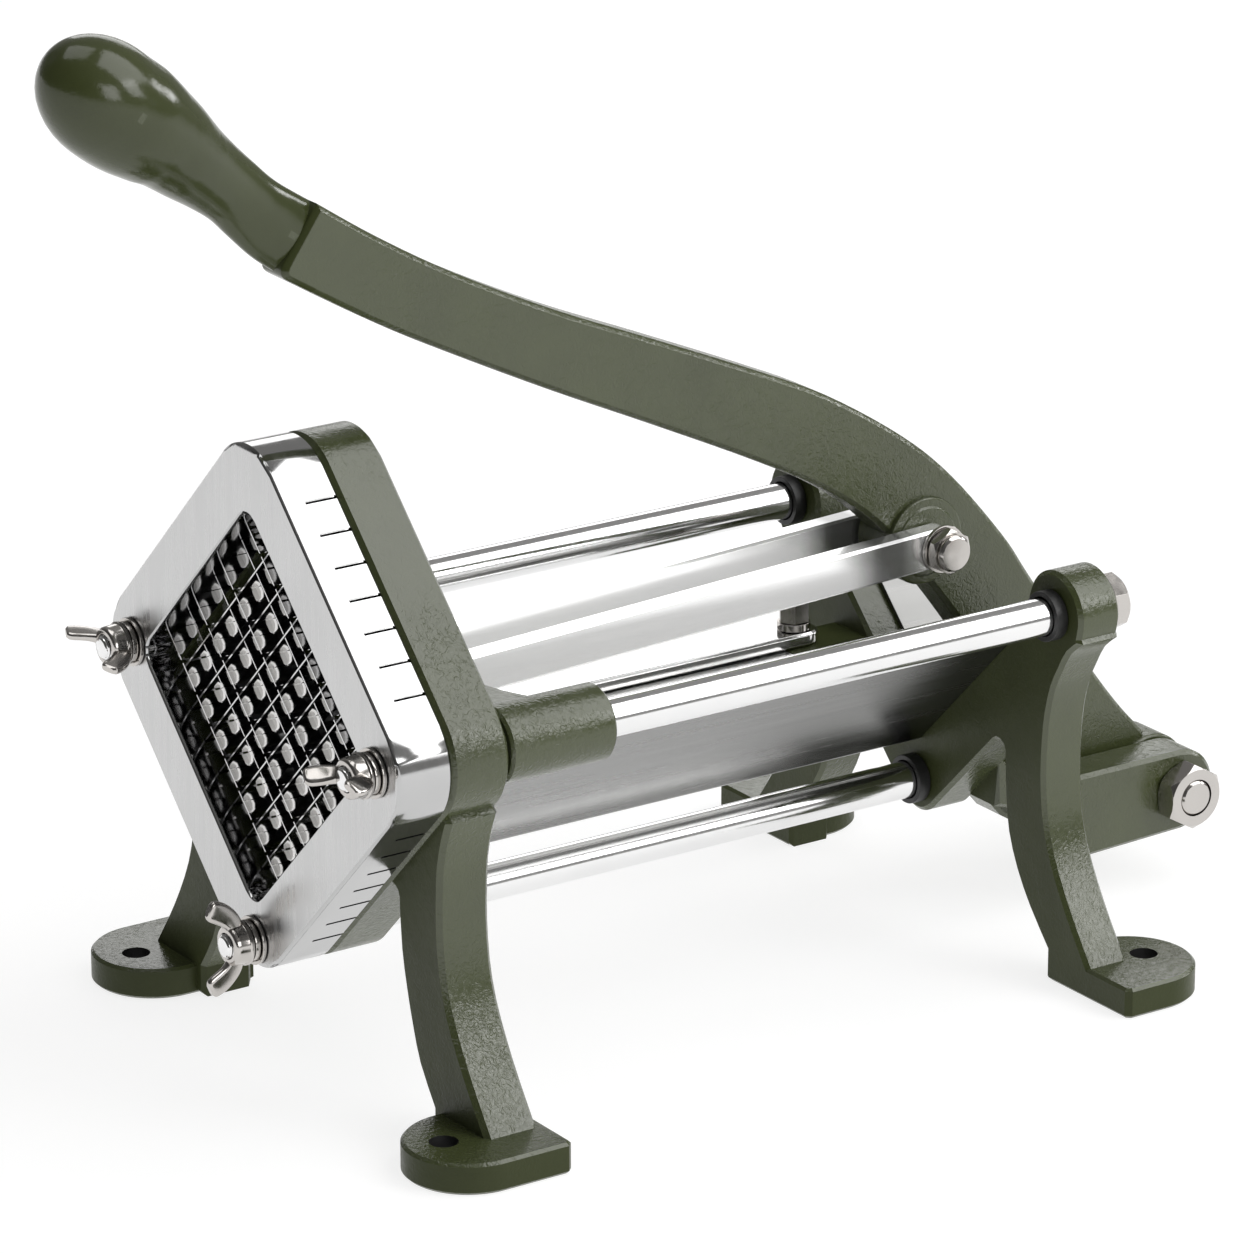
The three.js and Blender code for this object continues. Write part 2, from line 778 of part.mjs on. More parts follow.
function addRods() {
  rodPlaces.forEach((place) => {
    const { side, x, z, boltFlat } = place;
    const rodName = side === 'bottom' ? 'tie_rod_bottom' : `guide_rod_${side}`;
    piece(rodName, rod(place), 'polished');
    const flatFront = -fit - flatWasherThickness;
    const springFront = flatFront - fit - springWasherThickness;
    piece(`washer_${side}`, turnedY(ringProfile(studRadius + fit, flatWasherRadius, flatFront, -fit), x, z, washerSides), 'bright');
    piece(`spring_washer_${side}`, springWasher(x, z, springFront), 'bright');
    piece(`wing_nut_${side}`, wingNut(x, z, springFront - fit, wingAngles[side]), 'bright');
    piece(`rod_collar_${side}`, turnedY(ringProfile(rodRadius + fit, collarRadius, rodBack - collarLength, rodBack), x, z), 'black');
    const bore = side === 'bottom' ? studRadius : rearBoltRadius;
    const headFront = armBack + fit;
    const head = easedHexY(boltFlat, headFront, headFront + rearBoltHeight, x, z);
    const shank = roundY(bore, rodBack - rodBoreDepth + 2 * fit, headFront + fit, x, z, smallSides);
    piece(`rod_bolt_${side}`, join(head, shank), 'bright');
  });
}

// Trough, rail and guards

function troughOutline() {
  const bendCentre = troughValley + troughBend * root2;
  const outerBend = troughBend + sheet;
  const outerValley = bendCentre - outerBend * root2;
  const flangeUnder = flangeHeight - sheet;
  const innerFlangeX = -(flangeHeight - troughValley);
  const outerFlangeX = -(flangeUnder - outerValley);
  const corner = sheet / root2;
  const list = [
    new THREE.Vector2(nearWallReach, nearWallReach + troughValley),
    ...arc(0, bendCentre, troughBend, -eighthTurn, -quarterTurn - eighthTurn, cornerSteps),
    new THREE.Vector2(innerFlangeX, flangeHeight),
    new THREE.Vector2(-flangeReach, flangeHeight),
    new THREE.Vector2(-flangeReach, flangeUnder),
    new THREE.Vector2(outerFlangeX, flangeUnder),
    ...arc(0, bendCentre, outerBend, -quarterTurn - eighthTurn, -eighthTurn, cornerSteps),
    new THREE.Vector2(nearWallReach + corner, nearWallReach + troughValley - corner),
  ];
  return list;
}

function trough() {
  const back = rodBack;
  const sheetBody = plateY(outline(troughOutline()), rodFront, back);
  const notch = flangeReach + sheet;
  const lugBox = new THREE.BoxGeometry(notch, railLugDepth + 2 * fit, railLugHeight);
  lugBox.translate(-notch / 2 - (flangeHeight - troughValley) + fit, armFront - railLugDepth / 2, flangeHeight);
  const frontBox = new THREE.BoxGeometry(notch, 2 * railFrontLugDepth, railLugHeight);
  frontBox.translate(-notch / 2 - (flangeHeight - troughValley) + fit, ringBack + fit, flangeHeight);
  return cut(sheetBody, body(lugBox), body(frontBox));
}

function rail() {
  const bottom = flangeHeight + fit;
  const half = railWidth / 2;
  const [front, back] = [rodFront, armFront - railEnd];
  const list = [
    new THREE.Vector2(railX() - half, front),
    new THREE.Vector2(railX() + half, front),
    ...arc(railX(), back - half, half, 0, halfTurn, 2 * cornerSteps),
  ];
  const bar = plateZ(outline(list), bottom, bottom + railThickness, linkEdge);
  const holes = [frontRailBoltY(), rearRailBoltY()].map((y) => {
    return roundZ(railBoltRadius + fit, bottom - fit, bottom + railThickness + fit, railX(), y, smallSides);
  });
  const top = bottom + railThickness;
  const sink = railScrewHeadRadius - railBoltRadius;
  const cone = turnedZ([
    [0, top - sink], [railBoltRadius + fit, top - sink], [railScrewHeadRadius + fit, top],
    [railScrewHeadRadius + fit, top + fit], [0, top + fit],
  ], railX(), frontRailBoltY(), smallSides);
  return cut(bar, ...holes, cone);
}

// The front screw lies flush in the rail, so the pusher clears it; the rear one is a bolt on a washer
function addRailFasteners() {
  const top = flangeHeight + fit + railThickness;
  const foot = flangeHeight - railLugHeight + fit;
  const sink = railScrewHeadRadius - railBoltRadius;
  const screw = [
    [0, foot], [railBoltRadius, foot], [railBoltRadius, top - sink], [railScrewHeadRadius, top],
    [railScrewSocket, top], [railScrewSocket, top - railScrewSocketDepth], [0, top - railScrewSocketDepth],
  ];
  piece('rail_screw_front', turnedZ(screw, railX(), frontRailBoltY(), smallSides), 'bright');
  const seat = top + fit;
  const washer = ringProfile(railBoltRadius + fit, railWasherRadius, seat, seat + railWasherThickness);
  piece('rail_washer_rear', turnedZ(washer, railX(), rearRailBoltY(), washerSides), 'bright');
  const headBottom = seat + railWasherThickness + fit;
  const hex = hexGeometry(railHeadFlat, railHeadHeight);
  hex.rotateX(rightAngle);
  hex.translate(railX(), rearRailBoltY(), headBottom + railHeadHeight / 2);
  const shank = roundZ(railBoltRadius, foot, headBottom + fit, railX(), rearRailBoltY(), smallSides);
  piece('rail_bolt_rear', join(body(hex), shank), 'bright');
}

function guard(side) {
  const base = armCeiling + fit * root2;
  const list = points([
    [guardInner, guardInner + base],
    [guardOuter, guardOuter + base],
    [guardOuter - sheet / root2, guardOuter + base + sheet / root2],
    [guardInner - sheet / root2, guardInner + base + sheet / root2],
  ]);
  const front = armFront + guardStart;
  return plateY(outline(side > 0 ? list : mirrored(list)), front, front + guardDepth);
}

// Lever

function leverPoint([ahead, up]) {
  return new THREE.Vector2(pivotY - leverReach * ahead, pivotHeight + leverRise * up);
}

function gripPoint([ahead, up]) {
  const [endY, endZ] = [pivotY - leverReach, pivotHeight + gripRootRise];
  return new THREE.Vector2(endY - gripLength * ahead, endZ + gripRise * up);
}

// A round profile, bent along the axis of the grip
function grip() {
  const axisPoints = gripAxisShares.map(gripPoint);
  const axis = new THREE.SplineCurve(axisPoints);
  const lengths = [0];
  for (let i = 1; i < axisPoints.length; i++) {
    lengths.push(lengths[i - 1] + axisPoints[i].distanceTo(axisPoints[i - 1]));
  }
  const total = lengths[lengths.length - 1];
  const profile = [[0, 0]];
  gripNoseShares.forEach((share) => {
    profile.push([gripRadius * Math.sqrt(1 - (1 - share) ** 2), lengths[1] * share]);
  });
  const noseRows = profile.length;
  for (let i = 1; i < lengths.length; i++) profile.push([gripRadius * gripRadiusShares[i], lengths[i]]);
  profile.push([0, total]);
  const geometry = turned(profile, roundSides);
  const place = geometry.attributes.position;
  for (let i = 0; i < place.count; i++) {
    const share = THREE.MathUtils.clamp(place.getY(i) / total, 0, 1);
    const centre = axis.getPointAt(share);
    const along = axis.getTangentAt(share);
    const out = place.getX(i);
    const station = Math.min(Math.max(i % profile.length - noseRows + 1, 0), gripWidthShares.length - 1);
    place.setXYZ(i, place.getZ(i) * gripWidthShares[station], centre.x - along.y * out, centre.y + along.x * out);
  }
  return body(geometry);
}

function leverOutline() {
  const top = spline(leverTopShares.map(leverPoint));
  const [corner, ...under] = spline(leverUnderShares.map(leverPoint));
  const upTheEnd = corner.clone().lerp(top[0], leverEndCorner / corner.distanceTo(top[0]));
  const alongUnder = corner.clone().lerp(under[0], leverEndCorner / corner.distanceTo(under[0]));
  const rounded = new THREE.QuadraticBezierCurve(upTheEnd, corner, alongUnder).getPoints(cornerSteps / 2);
  return [...rounded, ...under, ...top.reverse()];
}

function lever() {
  const bar = plateX(outline(leverOutline()), -leverHalf, leverHalf, leverEdge);
  const hub = roundX(leverHubRadius, -pivotHubHalf, pivotHubHalf, pivotY, pivotHeight);
  const eyeProfile = [
    [0, -linkStepHalf], [linkStepRadius - leverEdge / 3, -linkStepHalf], [linkStepRadius, -linkHubHalf],
    [linkHubRadius - leverEdge / 3, -linkHubHalf], [linkHubRadius, -linkHubHalf + leverEdge / 3],
    [linkHubRadius, linkHubHalf - leverEdge / 3], [linkHubRadius - leverEdge / 3, linkHubHalf],
    [linkStepRadius, linkHubHalf], [linkStepRadius - leverEdge / 3, linkStepHalf], [0, linkStepHalf],
  ];
  const eye = turnedX(eyeProfile, linkPinY, linkPinZ);
  const pivotHole = roundX(pivotBoltRadius + runningFit, -earInner, earInner, pivotY, pivotHeight);
  const pinHole = roundX(linkPinRadius + fit, -linkInner, linkInner, linkPinY, linkPinZ, smallSides);
  return cut(join(bar, hub, eye, grip()), pivotHole, pinHole);
}

// Links and pins

function linkOutline() {
  const direction = new THREE.Vector2(linkPinY - frontPinY, linkPinZ - frontPinZ);
  const tilt = THREE.MathUtils.radToDeg(direction.angle());
  const half = linkHeight / 2;
  const rear = arc(linkPinY, linkPinZ, half, tilt - quarterTurn, tilt + quarterTurn, 2 * cornerSteps);
  const front = arc(frontPinY, frontPinZ, half, tilt + quarterTurn, tilt + quarterTurn + halfTurn, 2 * cornerSteps);
  return [...rear, ...front];
}

function addLinks() {
  [['left', -1], ['right', 1]].forEach(([name, side]) => {
    const [left, right] = side > 0 ? [linkInner, linkOuter] : [-linkOuter, -linkInner];
    const bar = plateX(outline(linkOutline()), left, right, linkEdge);
    const rearHole = roundX(linkPinRadius + runningFit, left - fit, right + fit, linkPinY, linkPinZ, smallSides);
    const frontHole = roundX(frontPinRadius + fit, left - fit, right + fit, frontPinY, frontPinZ, smallSides);
    piece(`link_${name}`, cut(bar, rearHole, frontHole), 'polished');
    const headInner = linkOuter + fit;
    const headOuter = headInner + frontPinHeadHeight;
    const profile = [
      [0, linkInner], [frontPinRadius, linkInner], [frontPinRadius, headInner], [frontPinHeadRadius, headInner],
      [frontPinHeadRadius, headOuter - studChamfer], [frontPinHeadRadius - studChamfer, headOuter], [0, headOuter],
    ];
    const turnedProfile = side > 0 ? profile : profile.map(([r, x]) => [r, -x]).reverse();
    piece(`front_pin_${name}`, turnedX(turnedProfile, frontPinY, frontPinZ, smallSides), 'bright');
    const washerInner = linkOuter + fit;
    const washerOuter = washerInner + linkWasherThickness;
    const [from, to] = side > 0 ? [washerInner, washerOuter] : [-washerOuter, -washerInner];
    piece(`link_washer_${name}`, turnedX(ringProfile(linkPinRadius + fit, linkWasherRadius, from, to), linkPinY, linkPinZ), 'bright');
  });
  const seat = linkOuter + fit + linkWasherThickness + fit;
  const hex = easedHexX(linkHeadFlat, seat, seat + linkHeadHeight, linkPinY, linkPinZ);
  const cap = turnedX(barProfile(linkCapRadius, seat + linkHeadHeight - fit, seat + linkHeadHeight + linkCapHeight, studChamfer), linkPinY, linkPinZ);
  const shank = roundX(linkPinRadius, -seat - linkHeadHeight - 2 * fit, seat + fit, linkPinY, linkPinZ, smallSides);
  piece('link_bolt', join(hex, cap, shank), 'bright');
  const nut = easedHexX(linkHeadFlat + fit, -seat - linkHeadHeight, -seat, linkPinY, linkPinZ);
  const thread = roundX(linkPinRadius + fit, -seat - linkHeadHeight - fit, -seat + fit, linkPinY, linkPinZ, smallSides);
  piece('link_nut', cut(nut, thread), 'bright');
}

function addPivot() {
  const seat = earOuter + fit;
  const head = easedHexX(pivotNutFlat, -seat - pivotNutHeight, -seat, pivotY, pivotHeight);
  const end = seat + pivotNutHeight + pivotBoltProud;
  const shank = turnedX(barProfile(pivotBoltRadius, -seat - fit, end, studChamfer), pivotY, pivotHeight);
  piece('pivot_bolt', join(head, shank), 'bright');
  const nut = easedHexX(pivotNutFlat, seat, seat + pivotNutHeight, pivotY, pivotHeight);
  const thread = roundX(pivotBoltRadius + fit, seat - fit, seat + pivotNutHeight + fit, pivotY, pivotHeight);
  piece('pivot_nut', cut(nut, thread), 'bright');
}

// Carriage and pusher

// The web is notched behind, so the ends of the links clear it when the lever lifts
function webOutline() {
  const back = carriageFront + webDepth;
  const notchBack = back - webNotchDepth;
  const end = carriageFront + sleeveLength - webEndInset;
  const flare = webFlareShares.map((share, i) => {
    const x = THREE.MathUtils.lerp(webFlareInner, webFlareOuter, share);
    return new THREE.Vector2(x, back + webFlare * webRiseShares[i]);
  });
  const right = [
    new THREE.Vector2(0, carriageFront),
    new THREE.Vector2(sideRodX, carriageFront),
    new THREE.Vector2(sideRodX, end),
    new THREE.Vector2(webFlareOuter, end),
    ...flare.reverse(),
    new THREE.Vector2(webNotchHalf + webNotchDepth, back),
    new THREE.Vector2(webNotchHalf, notchBack),
    new THREE.Vector2(0, notchBack),
  ];
  const left = mirrored(right);
  return [...right, ...left.slice(1, left.length - 1)];
}

function carriage() {
  const webBottom = sideRodZ - webHeight / 2;
  const web = plateZ(outline(webOutline()), webBottom, webBottom + webHeight, webEdge);
  const back = plateY(outline(diamond(backPlateSide, openingCorner)), carriageFront, carriageFront + backPlateDepth, webEdge);
  const lugShape = [
    ...points([[carriageFront + webEdge, frontPinZ - lugRadius]]),
    ...arc(frontPinY, frontPinZ, lugRadius, -quarterTurn, quarterTurn, 2 * cornerSteps),
    ...points([[carriageFront + webEdge, frontPinZ + lugRadius]]),
  ];
  const lug = plateX(outline(lugShape), -linkStepHalf, linkStepHalf, webEdge);
  const sleeveProfile = barProfile(sleeveRadius, carriageFront, carriageFront + sleeveLength, sleeveEdge);
  const sleeves = [-sideRodX, sideRodX].map((x) => turnedY(sleeveProfile, x, sideRodZ));
  const boreRadius = rodRadius + runningFit + bushWall + fit;
  const bores = [-sideRodX, sideRodX].map((x) => {
    return roundY(boreRadius, carriageFront - fit, carriageFront + sleeveLength + fit, x, sideRodZ);
  });
  const screws = screwPlaces().map(([x, z]) => {
    return roundY(screwRadius + fit, carriageFront - fit, carriageFront + backPlateDepth + fit, x, z, smallSides);
  });
  return cut(join(web, back, lug, ...sleeves), ...bores, ...screws);
}

function screwPlaces() {
  return [[0, centreHeight + screwSpread], [0, centreHeight - screwSpread]];
}

function addBlockScrews() {
  const seat = carriageFront + backPlateDepth + fit;
  screwPlaces().forEach(([x, z], i) => {
    const profile = [
      [0, carriageFront - screwBite], [screwRadius, carriageFront - screwBite], [screwRadius, seat],
      [screwHeadRadius, seat], [screwHeadRadius, seat + screwHeadHeight - studChamfer],
      [screwHeadRadius - studChamfer, seat + screwHeadHeight], [screwRadius - fit, seat + screwHeadHeight],
      [screwRadius - fit, seat + screwHeadHeight / 2], [0, seat + screwHeadHeight / 2],
    ];
    piece(`block_screw_${i ? 'lower' : 'upper'}`, turnedY(profile, x, z, smallSides), 'bright');
  });
}

function addBushes() {
  const [inner, outer] = [rodRadius + runningFit, rodRadius + runningFit + bushWall];
  [['left', -1], ['right', 1]].forEach(([name, side]) => {
    const profile = ringProfile(inner, outer, carriageFront + fit, carriageFront + sleeveLength + fit);
    piece(`sleeve_bush_${name}`, turnedY(profile, side * sideRodX, sideRodZ), 'black');
  });
}

function pusherBlock() {
  const plateBack = carriageFront - fit;
  const plateFront = plateBack - pusherPlateDepth;
  const side = (cellCount - 1) * cellPitch + pinSize + 2 * pinSideMargin;
  const plate = plateY(outline(diamond(side, pinCorner + pinSideMargin)), plateFront, plateBack);
  const pins = [];
  for (let row = 0; row < cellCount; row++) {
    for (let column = 0; column < cellCount; column++) {
      const [a, b] = [row, column].map((n) => (n - (cellCount - 1) / 2) * cellPitch);
      pins.push(outline(diamond(pinSize, pinCorner, (a - b) / root2, centreHeight + (a + b) / root2, 1)));
    }
  }
  const pinField = plateY(pins, panDepth + pinFrontGap, plateFront + fit);
  const holes = screwPlaces().map(([x, z]) => {
    return roundY(screwRadius + fit, plateBack - screwBite - 2 * fit, plateBack + fit, x, z, smallSides);
  });
  return cut(join(plate, pinField), ...holes);
}

// Assembly

piece('front_frame', frontFrame(), 'enamel');
piece('rear_frame', rearFrame(), 'enamel');
piece('blade_pan', bladePan(), 'polished');
addBlades();
addRods();
piece('trough', trough(), 'brushed');
piece('trough_rail', rail(), 'polished');
addRailFasteners();
piece('guard_plate_left', guard(-1), 'brushed');
piece('guard_plate_right', guard(1), 'brushed');
piece('carriage', carriage(), 'enamel');
addBushes();
piece('pusher_block', pusherBlock(), 'cast');
addBlockScrews();
piece('lever', lever(), 'enamel');
addLinks();
addPivot();

export default product;
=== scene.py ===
import json
import math

import bmesh
import bpy
from mathutils import Matrix, Vector


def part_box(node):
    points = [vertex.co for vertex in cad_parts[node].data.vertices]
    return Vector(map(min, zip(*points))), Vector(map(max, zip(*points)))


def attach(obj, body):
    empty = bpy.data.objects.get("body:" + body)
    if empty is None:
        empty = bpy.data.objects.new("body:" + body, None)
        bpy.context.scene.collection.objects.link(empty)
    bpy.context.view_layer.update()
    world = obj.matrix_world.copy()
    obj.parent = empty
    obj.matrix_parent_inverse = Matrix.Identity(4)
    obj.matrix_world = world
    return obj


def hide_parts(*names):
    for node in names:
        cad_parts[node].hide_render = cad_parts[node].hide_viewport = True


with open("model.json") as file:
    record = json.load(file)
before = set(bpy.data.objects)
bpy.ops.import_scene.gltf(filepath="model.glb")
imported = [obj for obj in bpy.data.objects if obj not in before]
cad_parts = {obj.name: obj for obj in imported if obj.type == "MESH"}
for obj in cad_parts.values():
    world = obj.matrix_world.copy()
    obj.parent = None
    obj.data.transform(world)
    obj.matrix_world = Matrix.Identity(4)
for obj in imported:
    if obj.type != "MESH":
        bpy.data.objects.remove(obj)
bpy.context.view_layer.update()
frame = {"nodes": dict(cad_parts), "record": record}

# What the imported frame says: nodes, bodies and places, in millimetres

MM = 0.001
ROOT2 = math.sqrt(2)
PLACE_DIGITS = 3

nodes = frame["nodes"]
record = frame["record"]
slots = {row["node"]: row["material_slot"] for row in record["subparts"]}
body_of = {node: body for body, held in record["behaviour"]["bodies"].items() for node in held}
joint_at = {joint["name"]: joint.get("pos_m") for joint in record["behaviour"]["joints"]}
opening_box = {opening["name"]: opening["box_m"] for opening in record["physics"]["openings"]}


def in_mm(place):
    return [round(c / MM, PLACE_DIGITS) for c in place]


def box_in_mm(node):
    """The lowest corner, the highest corner and the middle of a node."""
    low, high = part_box(node)
    return in_mm(low), in_mm(high), in_mm((low + high) / 2)


def opening_middle(name):
    low, high = opening_box[name]
    return in_mm([(a + b) / 2 for a, b in zip(low, high)])


# An axis along X is given by its Y and Z, and the rods' axes along Y by X and Z.
PIVOT = in_mm(joint_at["lever_pivot"])[1:]
LINK_PIN = in_mm(joint_at["link_pivot"])[1:]
FRONT_PIN = box_in_mm("front_pin_left")[2][1:]
SIDE_X, _, SIDE_Z = in_mm(joint_at["wing_nut_right_turn"])
TIE_Z = in_mm(joint_at["wing_nut_bottom_turn"])[2]
PAN_FRONT = box_in_mm("blade_pan")[0][1]
GRID_Z = box_in_mm("blade_pan")[2][2]
STUD_FRONT = box_in_mm("guide_rod_left")[0][1]
ROD_BACK = box_in_mm("guide_rod_left")[1][1]
ROD_AXES = {"left": (-SIDE_X, SIDE_Z), "right": (SIDE_X, SIDE_Z), "bottom": (0, TIE_Z)}
HOLE_X, FRONT_HOLE_Y = opening_middle("foot_hole_front_right")[:2]
REAR_HOLE_Y = opening_middle("foot_hole_rear_right")[1]

# Camera: angles in degrees, and the eye in millimetres

AZIMUTH, ELEVATION, ROLL = 55.8, 19.31, -0.02
FOCAL_PX, IMAGE_PX, SENSOR = 6816.9, 1254, 36.0
EYE = Vector((1400.64, -958.58, 695.28)) * MM
CLIP_NEAR, CLIP_FAR = 0.05, 60


def make_camera():
    a, e, r = (math.radians(v) for v in (AZIMUTH, ELEVATION, ROLL))
    back = Vector((math.sin(a) * math.cos(e), -math.cos(a) * math.cos(e), math.sin(e)))
    right = Vector((math.cos(a), math.sin(a), 0))
    up = back.cross(right)
    right, up = (math.cos(r) * right + math.sin(r) * up, math.cos(r) * up - math.sin(r) * right)
    data = bpy.data.cameras.new("photo_camera")
    data.sensor_width = SENSOR
    data.lens = SENSOR * FOCAL_PX / IMAGE_PX
    data.clip_start, data.clip_end = CLIP_NEAR, CLIP_FAR
    cam = bpy.data.objects.new("photo_camera", data)
    turn = Matrix((right, up, back)).transposed().to_4x4()
    cam.matrix_world = Matrix.Translation(EYE) @ turn
    bpy.context.scene.collection.objects.link(cam)
    bpy.context.scene.camera = cam


make_camera()

# Material tools: most values of a noise lie between NOISE_LOW and NOISE_HIGH

NOISE_LOW, NOISE_HIGH = 0.3, 0.7
STREAK_DETAIL, STREAK_ROUGH, STREAK_DEPTH = 4, 0.6, 0.00003


def dimmed(colour, share):
    return tuple(c * share for c in colour)


def grey(value):
    return (value, value, value)


class Mat:
    """A material and its node tree, with short calls for the nodes that the finishes share."""

    def __init__(self, name):
        self.mat = bpy.data.materials.new(name)
        self.mat.use_nodes = True
        self.tree = self.mat.node_tree
        self.shader = self.tree.nodes["Principled BSDF"]
        self.coord = self.tree.nodes.new("ShaderNodeTexCoord").outputs["Object"]

    def node(self, kind):
        return self.tree.nodes.new(kind)

    def link(self, a, b):
        self.tree.links.new(a, b)

    def set(self, **values):
        for key, value in values.items():
            self.shader.inputs[key.replace("_", " ")].default_value = value

    def out(self, socket, name):
        self.link(socket, self.shader.inputs[name])

    def mapped(self, scale):
        m = self.node("ShaderNodeMapping")
        m.inputs["Scale"].default_value = scale
        self.link(self.coord, m.inputs["Vector"])
        return m.outputs["Vector"]

    def along(self, start, end):
        """0 at the place start and 1 at the place end along the machine, both in millimetres."""
        split = self.node("ShaderNodeSeparateXYZ")
        self.link(self.coord, split.inputs["Vector"])
        return self.span(split.outputs["Y"], 0, 1, start * MM, end * MM)

    def noise(self, scale, detail=3.0, rough=0.5, vector=None, distortion=0.0):
        n = self.node("ShaderNodeTexNoise")
        n.inputs["Scale"].default_value = scale
        n.inputs["Detail"].default_value = detail
        n.inputs["Roughness"].default_value = rough
        n.inputs["Distortion"].default_value = distortion
        self.link(vector or self.coord, n.inputs["Vector"])
        return n.outputs["Fac"]

    def ramp(self, fac, stops):
        r = self.node("ShaderNodeValToRGB")
        while len(r.color_ramp.elements) < len(stops):
            r.color_ramp.elements.new(0.5)
        for element, (position, colour) in zip(r.color_ramp.elements, stops):
            element.position = position
            element.color = (*colour, 1)
        self.link(fac, r.inputs["Fac"])
        return r.outputs["Color"]

    def tones(self, fac, dark, light):
        return self.ramp(fac, [(NOISE_LOW, dark), (NOISE_HIGH, light)])

    def span(self, fac, low, high, start=NOISE_LOW, end=NOISE_HIGH):
        m = self.node("ShaderNodeMapRange")
        m.inputs["From Min"].default_value = start
        m.inputs["From Max"].default_value = end
        m.inputs["To Min"].default_value = low
        m.inputs["To Max"].default_value = high
        self.link(fac, m.inputs["Value"])
        return m.outputs["Result"]

    def bump(self, height, strength, distance, before=None):
        """Relief; its strength is a number or a socket, and before is the relief under it."""
        b = self.node("ShaderNodeBump")
        b.inputs["Distance"].default_value = distance
        if isinstance(strength, (int, float)):
            b.inputs["Strength"].default_value = strength
        else:
            self.link(strength, b.inputs["Strength"])
        self.link(height, b.inputs["Height"])
        if before:
            self.link(before, b.inputs["Normal"])
        return b.outputs["Normal"]

    def streaks(self, scale, squeeze, rough, strength):
        """Fine lines in gloss and relief, drawn out along the axis whose squeeze is small."""
        streak = self.noise(scale, STREAK_DETAIL, STREAK_ROUGH, self.mapped(squeeze))
        self.out(self.span(streak, *rough), "Roughness")
        self.out(self.bump(streak, strength, STREAK_DEPTH), "Normal")


# Enamel: noise scales, tones as shares of the base colour, and relief depths in metres

TONE_SCALE, PATCH_SCALE, GRAIN_SCALE, SWELL_SCALE = 30, 22, 560, 70
ENAMEL_DARK_SHARE, ENAMEL_LIGHT_SHARE = 0.88, 1.10
PATCH_LOW, PATCH_HIGH, FAINTEST_GRAIN = 0.38, 0.62, 0.35
GRAIN_CURL = 1.6
SWELL_STRENGTH, SWELL_DEPTH = 0.3, 0.001


def enamel(name, base, rough, grain_depth, shine):
    """Glossy olive enamel on cast metal, with the leathery grain of the casting in patches."""
    m = Mat(name)
    dark, light = dimmed(base, ENAMEL_DARK_SHARE), dimmed(base, ENAMEL_LIGHT_SHARE)
    m.out(m.tones(m.noise(TONE_SCALE, detail=4, rough=0.6), dark, light), "Base Color")
    patch = m.span(m.noise(PATCH_SCALE, detail=2), FAINTEST_GRAIN, 1.0, PATCH_LOW, PATCH_HIGH)
    grain = m.noise(GRAIN_SCALE, detail=2, distortion=GRAIN_CURL)
    m.out(m.span(grain, *rough), "Roughness")
    swell = m.bump(m.noise(SWELL_SCALE, detail=2), SWELL_STRENGTH, SWELL_DEPTH)
    m.out(m.bump(grain, patch, grain_depth, swell), "Normal")
    m.set(Specular_IOR_Level=shine)
    return m.mat


# Metals and plain finishes: noise scales, strengths of the lines, and their squeeze along each axis

DRIFT_SCALE, DRIFT_ROUGH = 45, 0.55
FINE_SCALE, SHEET_SCALE, PAN_SCALE = 260, 300, 500
FAINT_LINES, FINE_LINES, PAN_LINES, SATIN_LINES = 0.05, 0.06, 0.08, 0.1
ALONG_SHEET, ALONG_LINK, ACROSS_PAN = (1, 0.03, 1), (1, 0.04, 1), (1, 1, 0.06)
PLAIN_SCALE, PLAIN_DARK_SHARE, PLAIN_GLOSS_SHARE = 300, 0.8, 0.15
PORE_SCALE, PORE_STRENGTH, PORE_DEPTH = 1500, 0.2, 0.00004


def metal(name, colour, rough, squeeze=(1, 1, 1), scale=FINE_SCALE, lines=FINE_LINES, dark_share=0.95):
    """Bare metal: a slight drift of tone, and fine lines or a fine grain."""
    m = Mat(name)
    drift = m.noise(DRIFT_SCALE, rough=DRIFT_ROUGH)
    m.out(m.tones(drift, dimmed(colour, dark_share), colour), "Base Color")
    m.streaks(scale, squeeze, rough, lines)
    m.set(Metallic=1.0)
    return m.mat


def graded_metal(name, start, end, stops, rough, squeeze, metallic=1.0, glow=None):
    """Streaked metal whose tone, and glow where given, change along the machine between two places: painted
    shade and light.
    """
    m = Mat(name)
    along = m.along(start, end)
    m.out(m.ramp(along, stops), "Base Color")
    m.streaks(SHEET_SCALE, squeeze, rough, FAINT_LINES)
    m.set(Metallic=metallic)
    if glow:
        m.out(m.ramp(along, glow), "Emission Color")
        m.set(Emission_Strength=1.0)
    return m.mat


def plain(name, colour, rough, metallic=0.0, glow=0.0):
    """A finely pored finish with a slight drift of tone and gloss."""
    m = Mat(name)
    tone = m.noise(PLAIN_SCALE)
    m.out(m.tones(tone, dimmed(colour, PLAIN_DARK_SHARE), colour), "Base Color")
    m.out(m.span(tone, rough * (1 - PLAIN_GLOSS_SHARE), rough * (1 + PLAIN_GLOSS_SHARE)), "Roughness")
    m.out(m.bump(m.noise(PORE_SCALE, detail=2), PORE_STRENGTH, PORE_DEPTH), "Normal")
    m.set(Metallic=metallic)
    if glow:
        m.set(Emission_Color=(*colour, 1), Emission_Strength=glow)
    return m.mat


